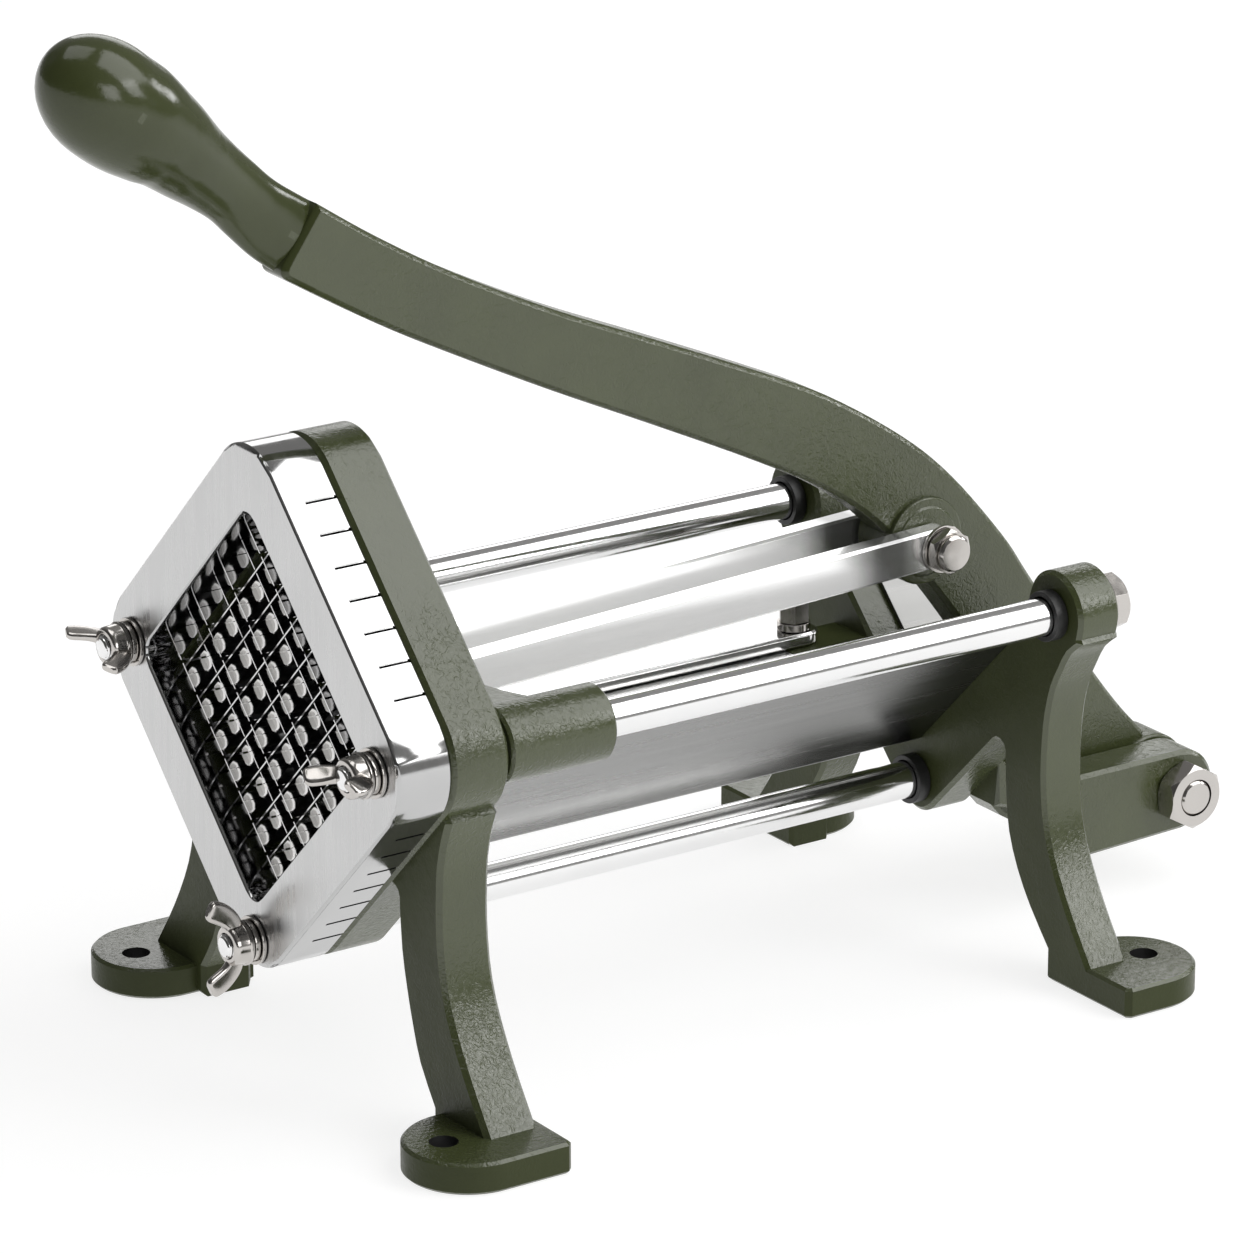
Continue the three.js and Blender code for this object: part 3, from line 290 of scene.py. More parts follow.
finish = {
    "enamel": enamel("olive_enamel", (0.053, 0.064, 0.023), (0.20, 0.27), grain_depth=0.00028, shine=0.8),
    "polished_steel": metal("polished_steel", grey(0.88), (0.10, 0.17)),
    "brushed_steel": metal(
        "satin_sheet", (0.25, 0.25, 0.245), (0.24, 0.36), ALONG_SHEET, SHEET_SCALE, SATIN_LINES),
    "nickel": metal("bright_nickel", (0.58, 0.555, 0.53), (0.12, 0.22)),
    "cast_aluminium": plain("cast_block", grey(0.24), 0.34, metallic=1.0),
    # Black for the bushes, and also the painted shade inside the foot holes
    "black_plastic": plain("black_bush_and_painted_hole_shade", grey(0.015), 0.45),
}

# Castings: painted shade, where the front faces and the rims of the feet get a darker, duller enamel with
# less grain, and the foot holes are painted black inside
painted_shade_enamel = enamel(
    "olive_enamel_painted_shade", (0.043, 0.051, 0.019), (0.30, 0.42), grain_depth=0.00012, shine=0.18)
smooth_enamel = enamel(
    "olive_enamel_smooth", (0.044, 0.053, 0.018), (0.13, 0.19), grain_depth=0.00005, shine=0.5)
# Enamel, the darker enamel of painted shade, and black for the painted shade inside the foot holes
CAST = [finish["enamel"], painted_shade_enamel, finish["black_plastic"]]

# Blade pan, blades and pins
pan_face = metal(
    "ground_pan_face", grey(0.60), (0.22, 0.34), ACROSS_PAN, PAN_SCALE, PAN_LINES, dark_share=0.96)
pan_side = metal("polished_pan_side", grey(0.54), (0.08, 0.16))
# The walls of the hole are a slightly darker mirror: painted shade.
pan_inside = metal("painted_shade_mirror", (0.50, 0.50, 0.51), (0.05, 0.09))
blade_side = metal("honed_blade", grey(0.93), (0.02, 0.04), lines=0.0)
blade_edge = metal("knife_edge", grey(0.70), (0.15, 0.22))
# The pins' ends glow a little and their eased rims glow more: painted light, with the rims as a painted
# highlight.
pin_face_glow = plain("machined_pin_end_painted_glow", (0.90, 0.88, 0.85), 0.35, metallic=0.1, glow=0.34)
pin_rim_glow = plain("pin_rim_painted_highlight", (0.95, 0.94, 0.92), 0.25, metallic=0.1, glow=0.75)

# Links: painted reflection and shade, bright along the bar with a darker stretch painted near the lever, and
# a small glow on the bright stretch as painted light. Each stop is a share of the way from start to end, and
# the tone there.
LINK_PAINTED_LIGHT, LINK_PAINTED_SHADE = grey(0.95), grey(0.34)
link_painted_steel = graded_metal(
    "link_painted_reflection", start=30, end=80,
    stops=[(0.0, LINK_PAINTED_LIGHT), (0.55, LINK_PAINTED_LIGHT), (0.72, LINK_PAINTED_SHADE), (0.85, LINK_PAINTED_SHADE), (1.0, LINK_PAINTED_LIGHT)],
    rough=(0.12, 0.2), squeeze=ALONG_LINK, metallic=0.75,
    glow=[(0.0, grey(0.26)), (0.5, grey(0.22)), (0.68, grey(0))])

# Trough: painted shade: the outside of its right wall is a darker copy of the sheet, darker still near the
# rear frame; the rest is bright
trough_painted_shade = graded_metal(
    "trough_sheet_painted_shade", start=-90, end=90,
    stops=[(0.0, (0.28, 0.28, 0.275)), (0.5, (0.24, 0.24, 0.235)), (1.0, (0.13, 0.13, 0.125))],
    rough=(0.2, 0.3), squeeze=ALONG_SHEET)
bright_sheet = metal("bright_sheet", (0.56, 0.56, 0.55), (0.22, 0.34), ALONG_SHEET, SHEET_SCALE)

# Mesh tools: tolerances in metres, and angles in degrees

WELD, FINE_WELD = 1e-6, 1e-7
SAME_PLACE, SAME_RADIUS, NEAR_RADIUS, LEAST_RADIUS = 2e-6, 1.5e-5, 3e-5, 4e-4
LONGEST_FACET_SHARE = 0.85
FLAT_ANGLE, EDGE_ANGLE, SHARP_ANGLE, BODY_SHARP_ANGLE = 0.5, 30, 38, 50
NORMAL_WEIGHT = 80
EDGE_SEGMENTS, FINE_SEGMENTS, TURNED_SIDES = 2, 3, 72


def turn_axes(axis):
    a = "xyz".index(axis)
    b, c = [i for i in range(3) if i != a]
    return a, b, c


def round_off(bm, axis, centre, cuts, radii=None):
    """Splits the facets of the turned surfaces about an axis, so that they look round. Where radii are
    given, only the surfaces with those radii are split."""
    a, b, c = turn_axes(axis)
    cb, cc = centre[0] * MM, centre[1] * MM
    layer = bm.verts.layers.float.new("turn_radius")
    for v in bm.verts:
        v[layer] = math.hypot(v.co[b] - cb, v.co[c] - cc)
    chosen = []
    for e in bm.edges:
        p, q = e.verts
        r = p[layer]
        if abs(p.co[a] - q.co[a]) > SAME_PLACE or abs(r - q[layer]) > SAME_RADIUS or r < LEAST_RADIUS:
            continue
        if radii and not any(abs(r - k * MM) < NEAR_RADIUS for k in radii):
            continue
        if (p.co - q.co).length < r * LONGEST_FACET_SHARE:
            chosen.append(e)
    if chosen:
        bmesh.ops.subdivide_edges(bm, edges=chosen, cuts=cuts, use_grid_fill=True)
    for v in bm.verts:
        r = math.hypot(v.co[b] - cb, v.co[c] - cc)
        if r > LEAST_RADIUS and v[layer] > LEAST_RADIUS:
            k = v[layer] / r
            v.co[b] = cb + (v.co[b] - cb) * k
            v.co[c] = cc + (v.co[c] - cc) * k
    bm.verts.layers.float.remove(layer)


def cleaned(node):
    """A node's mesh, welded, with its flat faces whole."""
    bm = bmesh.new()
    bm.from_mesh(nodes[node].data)
    bmesh.ops.remove_doubles(bm, verts=bm.verts, dist=WELD)
    bmesh.ops.dissolve_limit(bm, angle_limit=math.radians(FLAT_ANGLE), verts=bm.verts, edges=bm.edges)
    return bm


def as_object(name, bm):
    mesh = bpy.data.meshes.new(name)
    bm.to_mesh(mesh)
    bm.free()
    piece = bpy.data.objects.new(name, mesh)
    bpy.context.scene.collection.objects.link(piece)
    return piece


def merge(parts, name):
    bm = bmesh.new()
    for part in parts:
        mesh = bpy.data.meshes.new("part")
        part.to_mesh(mesh)
        part.free()
        bm.from_mesh(mesh)
        bpy.data.meshes.remove(mesh)
    return as_object(name, bm)


def apply_modifiers(piece):
    graph = bpy.context.evaluated_depsgraph_get()
    mesh = bpy.data.meshes.new_from_object(piece.evaluated_get(graph))
    piece.modifiers.clear()
    piece.data = mesh


def soften(piece, width, segments):
    mod = piece.modifiers.new("edges", "BEVEL")
    mod.width = width * MM
    mod.segments = segments
    mod.limit_method = "ANGLE"
    mod.angle_limit = math.radians(EDGE_ANGLE)
    mod.use_clamp_overlap = True
    apply_modifiers(piece)


def shade(piece, sharp):
    for p in piece.data.polygons:
        p.use_smooth = True
    piece.data.set_sharp_from_angle(angle=math.radians(sharp))
    mod = piece.modifiers.new("weights", "WEIGHTED_NORMAL")
    mod.keep_sharp = True
    mod.weight = NORMAL_WEIGHT
    apply_modifiers(piece)


def paint(piece, materials, pick=None):
    piece.data.materials.clear()
    for m in materials:
        piece.data.materials.append(m)
    for p in piece.data.polygons:
        p.material_index = pick(p) if pick else 0


def settle(piece, node):
    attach(piece, body_of[node])
    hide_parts(node)


def dress(node, turns=(), bevel=0.0, segments=EDGE_SEGMENTS, materials=None, pick=None):
    """A welded copy of a solid, with finer rounds and softened edges, stands for the solid. Each turn is
    a round of the solid as round_off takes it: the axis, its place, the cuts and the radii."""
    bm = cleaned(node)
    for turn in turns:
        round_off(bm, *turn)
    piece = as_object(node + "_skin", bm)
    if bevel:
        soften(piece, bevel, segments)
    shade(piece, SHARP_ANGLE)
    paint(piece, materials or [finish[slots[node]]], pick)
    settle(piece, node)
    return piece


# Bodies that are built finer than their solids


def lathe(profile, axis, centre):
    """A turned body: the profile lists radius and distance along the axis, and starts and ends on the axis
    or closes on itself."""
    bm = bmesh.new()
    a, b, c = turn_axes(axis)
    rings = []
    for radius, along in profile:
        count = 1 if radius == 0 else TURNED_SIDES
        ring = []
        for i in range(count):
            t = 2 * math.pi * i / TURNED_SIDES
            co = [0, 0, 0]
            co[a] = along
            co[b] = centre[0] + radius * math.cos(t)
            co[c] = centre[1] + radius * math.sin(t)
            ring.append(bm.verts.new(Vector(co) * MM))
        rings.append(ring)
    for low, high in zip(rings, rings[1:]):
        for i in range(TURNED_SIDES):
            j = (i + 1) % TURNED_SIDES
            corners = [low[i % len(low)], low[j % len(low)], high[j % len(high)], high[i % len(high)]]
            unique = list(dict.fromkeys(corners))
            if len(unique) > 2:
                bm.faces.new(unique)
    bmesh.ops.remove_doubles(bm, verts=bm.verts, dist=FINE_WELD)
    bmesh.ops.recalc_face_normals(bm, faces=bm.faces)
    return bm


def ring_body(outside, axis, centre, bore):
    """A turned body with a straight bore, whose outside is listed from one end to the other."""
    start, end = (bore, outside[0][1]), (bore, outside[-1][1])
    return lathe([start, *outside, end, start], axis, centre)


def tube(bm, loops):
    """Joins loops of equal count into a skin, and gives back the cap at each end."""
    count = len(loops[0])
    for low, high in zip(loops, loops[1:]):
        for i in range(count):
            j = (i + 1) % count
            bm.faces.new([low[i], low[j], high[j], high[i]])
    return [bm.faces.new(loops[0][::-1]), bm.faces.new(loops[-1])]


def catmull(points, per_span):
    """A smooth run through points of any dimension."""
    out = []
    last = len(points) - 1
    for i in range(last):
        p0, p1 = points[max(i - 1, 0)], points[i]
        p2, p3 = points[i + 1], points[min(i + 2, last)]
        for k in range(per_span):
            t = k / per_span
            row = []
            for a, b, c, d in zip(p0, p1, p2, p3):
                v0, v1 = (c - a) / 2, (d - b) / 2
                cubic = 2 * b - 2 * c + v0 + v1
                square = -3 * b + 3 * c - 2 * v0 - v1
                row.append(cubic * t ** 3 + square * t * t + v0 * t + b)
            out.append(tuple(row))
    out.append(tuple(points[last]))
    return out


# Rounds of the solids: radii and eased edges, and how often their facets are cut

SMALL_CUTS, TURNED_CUTS, CORNER_CUTS = 3, 4, 5
OPENING, RING_HOLE, PAN_WALL = 76.2, 77.2, 16.65
PAN_CORNER, HOLE_CORNER = 17, 5
CAST_EASE, PAN_EASE, FOOT_EASE, SLEEVE_EASE, LUG_EASE, LINK_EASE = 1.1, 0.8, 0.8, 0.8, 1, 0.7
BOSS_RADIUS, TIE_BOSS_RADIUS = 11.7, 9.6
SLEEVE_RADIUS, SLEEVE_BORE, LUG_RADIUS, LINK_HALF = 10.1, 6.9, 7, 5.5
FOOT_X, FOOT_RADIUS, FOOT_TOP = 77.5, 17.2, 12
FRONT_FOOT_Y, REAR_FOOT_Y = -107.5, 103.6
HOLE_RADIUS, HOLE_MARGIN = 3.8, 0.4
CAST_BEVEL, CARRIAGE_BEVEL = 0.45, 0.35

ring_reach = (OPENING / 2 + PAN_WALL - PAN_CORNER) * ROOT2
ring_hole_reach = (RING_HOLE / 2 - HOLE_CORNER) * ROOT2
pan_hole_reach = (OPENING / 2 - HOLE_CORNER) * ROOT2


def eased(radius, ease):
    """The radius of a round, and its radius where its eased edge meets the flat face."""
    return [radius, radius - ease]


def corner_turns(outer_reach, hole_reach, ease):
    """The rounds of a square ring that stands on one corner: outside and round its hole."""
    rounds = [
        (outer_reach, CORNER_CUTS, eased(PAN_CORNER, ease)),
        (hole_reach, SMALL_CUTS, eased(HOLE_CORNER, -ease)),
    ]
    turns = []
    for reach, cuts, radii in rounds:
        spots = [(reach, GRID_Z), (-reach, GRID_Z), (0, GRID_Z + reach), (0, GRID_Z - reach)]
        turns += [("y", spot, cuts, radii) for spot in spots]
    return turns


def foot_turns(foot_y, hole_y):
    turns = []
    for side in (-1, 1):
        turns.append(("z", (side * FOOT_X, foot_y), SMALL_CUTS, eased(FOOT_RADIUS, FOOT_EASE)))
        turns.append(("z", (side * HOLE_X, hole_y), SMALL_CUTS, [HOLE_RADIUS]))
    return turns


def side_turns(cuts, radii):
    return [("y", ROD_AXES[side], cuts, radii) for side in ("left", "right")]


# Castings: picks of the faces for each enamel, by the tilt of their normals

FRONTWARD, NOT_LEVEL, UPRIGHT = -0.85, 0.7, 0.3


# Faces that look to the front get the darker, duller enamel: painted shade.
def front_shade_pick(p):
    return 1 if p.normal.y < FRONTWARD else 0


def foot_pick(hole_y):
    """The holes in the feet are painted black inside and the rims of the feet get the front faces' darker
    enamel: both are painted shade.
    """
    def pick(p):
        x, y, z = p.center / MM
        if z < FOOT_TOP:
            from_axis = math.hypot(abs(x) - HOLE_X, y - hole_y)
            if from_axis < HOLE_RADIUS + HOLE_MARGIN and abs(p.normal.z) < NOT_LEVEL:
                return 2
            if abs(p.normal.z) < UPRIGHT:
                return 1
        return front_shade_pick(p)
    return pick


def make_castings():
    ring_turns = corner_turns(ring_reach, ring_hole_reach, CAST_EASE)
    front_feet = foot_turns(FRONT_FOOT_Y, FRONT_HOLE_Y)
    dress("front_frame", ring_turns + front_feet, CAST_BEVEL, FINE_SEGMENTS, CAST, foot_pick(FRONT_HOLE_Y))

    boss = eased(BOSS_RADIUS, CAST_EASE)
    boss_turns = side_turns(SMALL_CUTS, boss)
    boss_turns.append(("y", ROD_AXES["bottom"], TURNED_CUTS, eased(TIE_BOSS_RADIUS, CAST_EASE)))
    boss_turns.append(("x", PIVOT, SMALL_CUTS, boss))
    rear_feet = foot_turns(REAR_FOOT_Y, REAR_HOLE_Y)
    dress("rear_frame", boss_turns + rear_feet, CAST_BEVEL, FINE_SEGMENTS, CAST, foot_pick(REAR_HOLE_Y))

    sleeve_turns = side_turns(TURNED_CUTS, eased(SLEEVE_RADIUS, SLEEVE_EASE) + [SLEEVE_BORE])
    lug_turn = ("x", FRONT_PIN, SMALL_CUTS, eased(LUG_RADIUS, LUG_EASE))
    dress("carriage", sleeve_turns + [lug_turn], CARRIAGE_BEVEL, FINE_SEGMENTS, CAST, front_shade_pick)


make_castings()

# Lever: shares of its reach and rise from the pivot, forward and up

REACH, RISE = 272, 210.5
BAR_TOP_SHARES = [
    (0.987, 0.989), (0.923, 0.935), (0.841, 0.874), (0.729, 0.803), (0.615, 0.74), (0.499, 0.675),
    (0.409, 0.62), (0.317, 0.545), (0.255, 0.477), (0.191, 0.383), (0.159, 0.324), (0.113, 0.238),
    (0.069, 0.16), (0.033, 0.102), (0.004, 0.063),
]
BAR_UNDER_SHARES = [
    (1.031, 0.909), (0.924, 0.827), (0.842, 0.771), (0.73, 0.699), (0.615, 0.629), (0.498, 0.556),
    (0.414, 0.498), (0.357, 0.445), (0.313, 0.385), (0.274, 0.325), (0.243, 0.273), (0.206, 0.207),
    (0.165, 0.136), (0.118, 0.066), (0.07, 0.002), (0.029, -0.041),
]
BAR_STEPS = 5
END_CORNER, END_CORNER_STEPS, END_CLEAR = 3.4, 6, 3.6

# The bar starts inside the pivot hub, at a point a little ahead of the pivot and above it
ROOT_AHEAD, ROOT_RISE = 7.2, 2.2

# Edge of the bar: how far in from the outline, and how far from the lever's middle plane
BAR_EDGE = [
    (0, 4.3), (0.05, 4.55), (0.2, 4.85), (0.55, 5.25), (0.95, 5.62), (1.15, 5.8), (1.32, 5.93), (1.5, 6.0),
]
LEAST_MITRE = 0.5

# Grip: shares of its length and rise, of its radius, and of that radius for its width
GRIP_LENGTH, GRIP_RISE, GRIP_BASE, GRIP_RADIUS = 71.2, 56.75, 198.4, 15
GRIP_AXIS_SHARES = [
    (0.956, 1), (0.749, 0.767), (0.656, 0.679), (0.58, 0.607), (0.515, 0.545), (0.433, 0.454),
    (0.347, 0.366), (0.261, 0.276), (0.178, 0.175), (0.088, 0.081), (-0.035, -0.025),
]
GRIP_RADIUS_SHARES = [0, 1, 0.987, 0.913, 0.827, 0.73, 0.647, 0.6, 0.61, 0.65, 0.67]
GRIP_WIDTH_SHARES = [1, 1, 1, 1, 1, 0.97, 0.88, 0.74, 0.59, 0.48, 0.44]
NOSE_SHARES = [0.004, 0.02, 0.05, 0.1, 0.16, 0.24, 0.34, 0.46, 0.6, 0.75, 0.88]
GRIP_STEPS, GRIP_AXIS_STEPS = 5, 40
SMOOTH_OVERLAP = 2

# Pivot hub and the eye of the link pin, whose edge lists radius and distance from the middle plane
HUB_RADIUS, HUB_HALF, HUB_EDGE, HUB_BORE, HUB_EDGE_STEPS = 12.4, 7.1, 0.9, 5.3, 4
EYE_HALF = 8
EYE_EDGE = [
    (9.1, 8.0), (9.4, 7.9), (9.6, 7.65), (9.75, 7.45), (10.0, 7.4), (11.5, 7.4), (11.95, 7.3), (12.2, 6.9),
]
FLAT_SIDE = 0.999


def bar_point(share):
    return (PIVOT[0] - REACH * share[0], PIVOT[1] + RISE * share[1])


def bar_outline():
    """The bar's side view, with a rounded lower corner at its front end."""
    top = catmull([bar_point(s) for s in BAR_TOP_SHARES], BAR_STEPS)
    under = catmull([bar_point(s) for s in BAR_UNDER_SHARES], BAR_STEPS)
    corner, along, up = Vector(under[0]), Vector(under[3]), Vector(top[0])
    start = corner + (up - corner).normalized() * END_CORNER
    end = corner + (along - corner).normalized() * END_CORNER
    rounded = []
    for i in range(END_CORNER_STEPS + 1):
        t = i / END_CORNER_STEPS
        p = start * (1 - t) ** 2 + corner * 2 * t * (1 - t) + end * t * t
        rounded.append((p.x, p.y))
    rest = [p for p in under[1:] if (Vector(p) - corner).length > END_CLEAR]
    return rounded + rest + [(PIVOT[0] - ROOT_AHEAD, PIVOT[1] + ROOT_RISE)] + top[::-1]


def inset_outline(outline, inset):
    count = len(outline)
    out = []
    for i, p in enumerate(outline):
        before, after = Vector(outline[i - 1]), Vector(outline[(i + 1) % count])
        here = Vector(p)
        d0, d1 = (here - before).normalized(), (after - here).normalized()
        n0, n1 = Vector((-d0.y, d0.x)), Vector((-d1.y, d1.x))
        n = (n0 + n1).normalized()
        out.append(here + n * inset / max(n.dot(n0), LEAST_MITRE))
    return out


def bar_body():
    outline = bar_outline()
    area = sum(a[0] * b[1] - b[0] * a[1] for a, b in zip(outline, outline[1:] + outline[:1]))
    if area < 0:
        outline = outline[::-1]
    bm = bmesh.new()
    loops = []
    for inset, x in [(i, -x) for i, x in reversed(BAR_EDGE)] + BAR_EDGE:
        line = inset_outline(outline, inset)
        loops.append([bm.verts.new(Vector((x, p.x, p.y)) * MM) for p in line])
    bmesh.ops.triangulate(bm, faces=tube(bm, loops), ngon_method="EAR_CLIP")
    bmesh.ops.recalc_face_normals(bm, faces=bm.faces)
    return bm


def lengths_along(points):
    """The distance from the first point to each point."""
    run = [0]
    for p, q in zip(points, points[1:]):
        run.append(run[-1] + math.dist(p, q))
    return run


def grip_body():
    """A bent pear, from its round nose to its flattened neck, which ends inside the bar."""
    neck_y, neck_z = PIVOT[0] - REACH, PIVOT[1] + GRIP_BASE
    axis = [(neck_y - GRIP_LENGTH * ahead, neck_z + GRIP_RISE * up) for ahead, up in GRIP_AXIS_SHARES]
    chords = lengths_along(axis)
    dense = catmull(axis, GRIP_AXIS_STEPS)
    run = lengths_along(dense)

    def place_at(share):
        want = share * run[-1]
        i = 0
        while i < len(run) - 2 and run[i + 1] < want:
            i += 1
        t = (want - run[i]) / (run[i + 1] - run[i])
        p, q = Vector(dense[i]), Vector(dense[i + 1])
        return p.lerp(q, t), (q - p).normalized()

    rows = [(GRIP_RADIUS * math.sqrt(1 - (1 - s) ** 2), chords[1] * s, 1) for s in NOSE_SHARES]
    stations = [(GRIP_RADIUS * r, c, w) for r, c, w in zip(GRIP_RADIUS_SHARES, chords, GRIP_WIDTH_SHARES)]
    rows += catmull(stations[1:], GRIP_STEPS)
    bm = bmesh.new()
    loops = []
    for radius, along, width in rows:
        centre, d = place_at(along / chords[-1])
        loop = []
        for i in range(TURNED_SIDES):
            t = 2 * math.pi * i / TURNED_SIDES
            out = radius * math.cos(t)
            co = Vector((radius * width * math.sin(t), centre.x - d.y * out, centre.y + d.x * out))
            loop.append(bm.verts.new(co * MM))
        loops.append(loop)
    tube(bm, loops)
    bmesh.ops.recalc_face_normals(bm, faces=bm.faces)
    return bm


def mirrored(half):
    """A profile from one end to the other, whose second half is given."""
    return [(r, -x) for r, x in half] + [(r, x) for r, x in reversed(half)]


def hub_edge():
    """The hub's eased edge: radius and distance from the middle plane."""
    turns = [math.pi / 2 * k / HUB_EDGE_STEPS for k in range(HUB_EDGE_STEPS + 1)]
    radius, half = HUB_RADIUS - HUB_EDGE, HUB_HALF - HUB_EDGE
    return [(radius + HUB_EDGE * math.sin(t), half + HUB_EDGE * math.cos(t)) for t in turns]


def make_lever():
    hub = ring_body(mirrored(hub_edge()), "x", PIVOT, HUB_BORE)
    eye = lathe([(0, -EYE_HALF)] + mirrored(EYE_EDGE) + [(0, EYE_HALF)], "x", LINK_PIN)
    piece = merge([bar_body(), hub, eye, grip_body()], "lever_skin")
    shade(piece, BODY_SHARP_ANGLE)
    bar_end = (PIVOT[0] - REACH + SMOOTH_OVERLAP) * MM

    def pick(p):
        """The grip is smoother, and so are the narrow sides of the bar's end."""
        return 1 if p.center.y < bar_end and abs(p.normal.x) < FLAT_SIDE else 0

    paint(piece, [finish["enamel"], smooth_enamel], pick)
    settle(piece, "lever")


make_lever()

# Blade pan, blades and pusher

FRONT_FACE, PAN_UPRIGHT, PAN_INNER_REACH = -0.9, 0.5, 60
BLADE_LEAD, BLADE_TIP = 2.5, 0.01
PIN_BEVEL, PIN_FACE_DEPTH, PIN_FACEWARD, PIN_RIMWARD = 0.45, 0.5, -0.98, -0.2


def pan_pick(p):
    """The ground front, the walls of the hole in a slightly darker mirror as painted shade, and the polished
    sides.
    """
    c, n = p.center / MM, p.normal
    if n.y < FRONT_FACE:
        return 1
    outward = n.x * c.x + n.z * (c.z - GRID_Z)
    across = abs(c.x) + abs(c.z - GRID_Z)
    return 2 if across < PAN_INNER_REACH and abs(n.y) < PAN_UPRIGHT and outward < 0 else 0


def blade_pick(p):
    return 1 if p.normal.y < FRONT_FACE else 0


def make_blade(node):
    """A knife blade. Every second falling blade stands a little further out than the others."""
    piece = dress(node, materials=[blade_side, blade_edge], pick=blade_pick)
    if "falling" in node and int(node[-1]) % 2:
        front = min(v.co.y for v in piece.data.vertices)
        for v in piece.data.vertices:
            if v.co.y < front + BLADE_TIP * MM:
                v.co.y -= BLADE_LEAD * MM


def make_pusher():
    bm = cleaned("pusher_block")
    front = min(v.co.y for v in bm.verts)
    rims = set()
    for f in bm.faces:
        if f.normal.y < FRONT_FACE and abs(f.calc_center_median().y - front) < BLADE_TIP * MM:
            rims.update(f.edges)
    bmesh.ops.bevel(
        bm, geom=list(rims), offset=PIN_BEVEL * MM, segments=EDGE_SEGMENTS, profile=0.5, affect="EDGES")
    piece = as_object("pusher_skin", bm)
    shade(piece, BODY_SHARP_ANGLE)
    face_back = front + PIN_FACE_DEPTH * MM

    # The pins' ends and their rims get the glowing finishes: painted light.
    def pick(p):
        if p.center.y > face_back or p.normal.y > PIN_RIMWARD:
            return 0
        return 1 if p.normal.y < PIN_FACEWARD else 2

    paint(piece, [finish["cast_aluminium"], pin_face_glow, pin_rim_glow], pick)
    settle(piece, "pusher_block")


dress("blade_pan", corner_turns(ring_reach, pan_hole_reach, PAN_EASE),
      materials=[pan_side, pan_face, pan_inside], pick=pan_pick)
for name in nodes:
    if name.startswith(("blade_rising", "blade_falling")):
        make_blade(name)
make_pusher()

# Rods, with ridged studs: radii, and places along the rod

SHOULDER_DEPTH, SHOULDER_CHAMFER = 33.3, 0.2
ROD_FRONT = PAN_FRONT + SHOULDER_DEPTH
ROD_RADIUS, BORE_DEPTH = 5.1, 18
BOLT_BORE, TIE_BORE = 4.3, 3.55
STUD_TIP = [(0, 0), (2.35, 0), (2.6, 0.15), (2.85, 0.5)]
THREAD_START, THREAD_LENGTH, THREAD_PITCH = 0.6, 11, 0.95
RIDGE = [(2.86, 0), (3.22, 0.32), (3.22, 0.46), (2.86, 0.78)]
NECK_RADIUS, STUD_RADIUS, NECK_GAP = 3.2, 3.25, 0.1
ROD_SHARP_ANGLE = 32
WASHER_BEVEL, COLLAR_BEVEL, BOLT_BEVEL = 0.12, 0.25, 0.2


def rod_profile(bore):
    rows = [(r, STUD_FRONT + y) for r, y in STUD_TIP]
    start = STUD_FRONT + THREAD_START
    while start < STUD_FRONT + THREAD_LENGTH:
        rows += [(r, start + y) for r, y in RIDGE]
        start += THREAD_PITCH
    edge = ROD_RADIUS - SHOULDER_CHAMFER
    rows += [(NECK_RADIUS, start + NECK_GAP), (STUD_RADIUS, ROD_FRONT), (edge, ROD_FRONT)]
    rows += [(ROD_RADIUS, ROD_FRONT + SHOULDER_CHAMFER), (ROD_RADIUS, ROD_BACK - SHOULDER_CHAMFER)]
    rows += [(edge, ROD_BACK), (bore, ROD_BACK), (bore, ROD_BACK - BORE_DEPTH), (0, ROD_BACK - BORE_DEPTH)]
    return rows


def make_rod(side):
    node = "tie_rod_bottom" if side == "bottom" else "guide_rod_" + side
    bore = TIE_BORE if side == "bottom" else BOLT_BORE
    rod = as_object(node + "_skin", lathe(rod_profile(bore), "y", ROD_AXES[side]))
    shade(rod, ROD_SHARP_ANGLE)
    paint(rod, [finish["polished_steel"]])
    settle(rod, node)
    turns = [("y", ROD_AXES[side], TURNED_CUTS)]
    dress("washer_" + side, turns, WASHER_BEVEL)
    dress("spring_washer_" + side, turns, WASHER_BEVEL)
    dress("rod_collar_" + side, turns, COLLAR_BEVEL)
    dress("rod_bolt_" + side, turns, BOLT_BEVEL)


for side in ROD_AXES:
    make_rod(side)

# Wing nuts: angles in degrees, and the hub's outside by radius and distance from its back

FIT, WASHER, SPRING_WASHER = 0.3, 1.0, 1.4
NUT_BACK = PAN_FRONT - FIT - WASHER - FIT - SPRING_WASHER - FIT
WING_ANGLES = {"left": 190, "right": 171, "bottom": 90}
WING_TWISTS = {"left": 0, "right": 38, "bottom": 0}
NUT_HUB = [
    (5.7, 0), (6.0, 0.3), (6.0, 0.9), (5.75, 1.1), (5.5, 1.3), (5.4, 3.6), (5.25, 4.6), (4.8, 5.1),
    (4.0, 5.2),
]
NUT_BORE = 3.55

# Stations of a wing: distance from the hub's axis and from its back, half width, half thickness
WING_STATIONS = [
    (4.3, 2.7, 2.2, 1.5), (6.2, 3.5, 2.5, 1.35), (7.9, 5.0, 2.75, 1.2), (9.3, 6.9, 2.95, 1.15),
    (10.3, 8.8, 2.9, 1.15), (10.75, 9.9, 2.5, 1.05), (11.0, 10.5, 1.6, 0.7),
]
WING_STEPS, WING_SIDES = 4, 24
WING_SQUARENESS, WING_FLATNESS = 0.55, 0.7


def wing_section(wide, thick, twist):
    """A rounded oblong of the wing, turned about the wing's own line."""
    section = []
    for k in range(WING_SIDES):
        t = 2 * math.pi * k / WING_SIDES
        u = wide * math.copysign(abs(math.cos(t)) ** WING_SQUARENESS, math.cos(t))
        w = thick * math.copysign(abs(math.sin(t)) ** WING_FLATNESS, math.sin(t))
        section.append((u * math.cos(twist) - w * math.sin(twist), u * math.sin(twist) + w * math.cos(twist)))
    return section


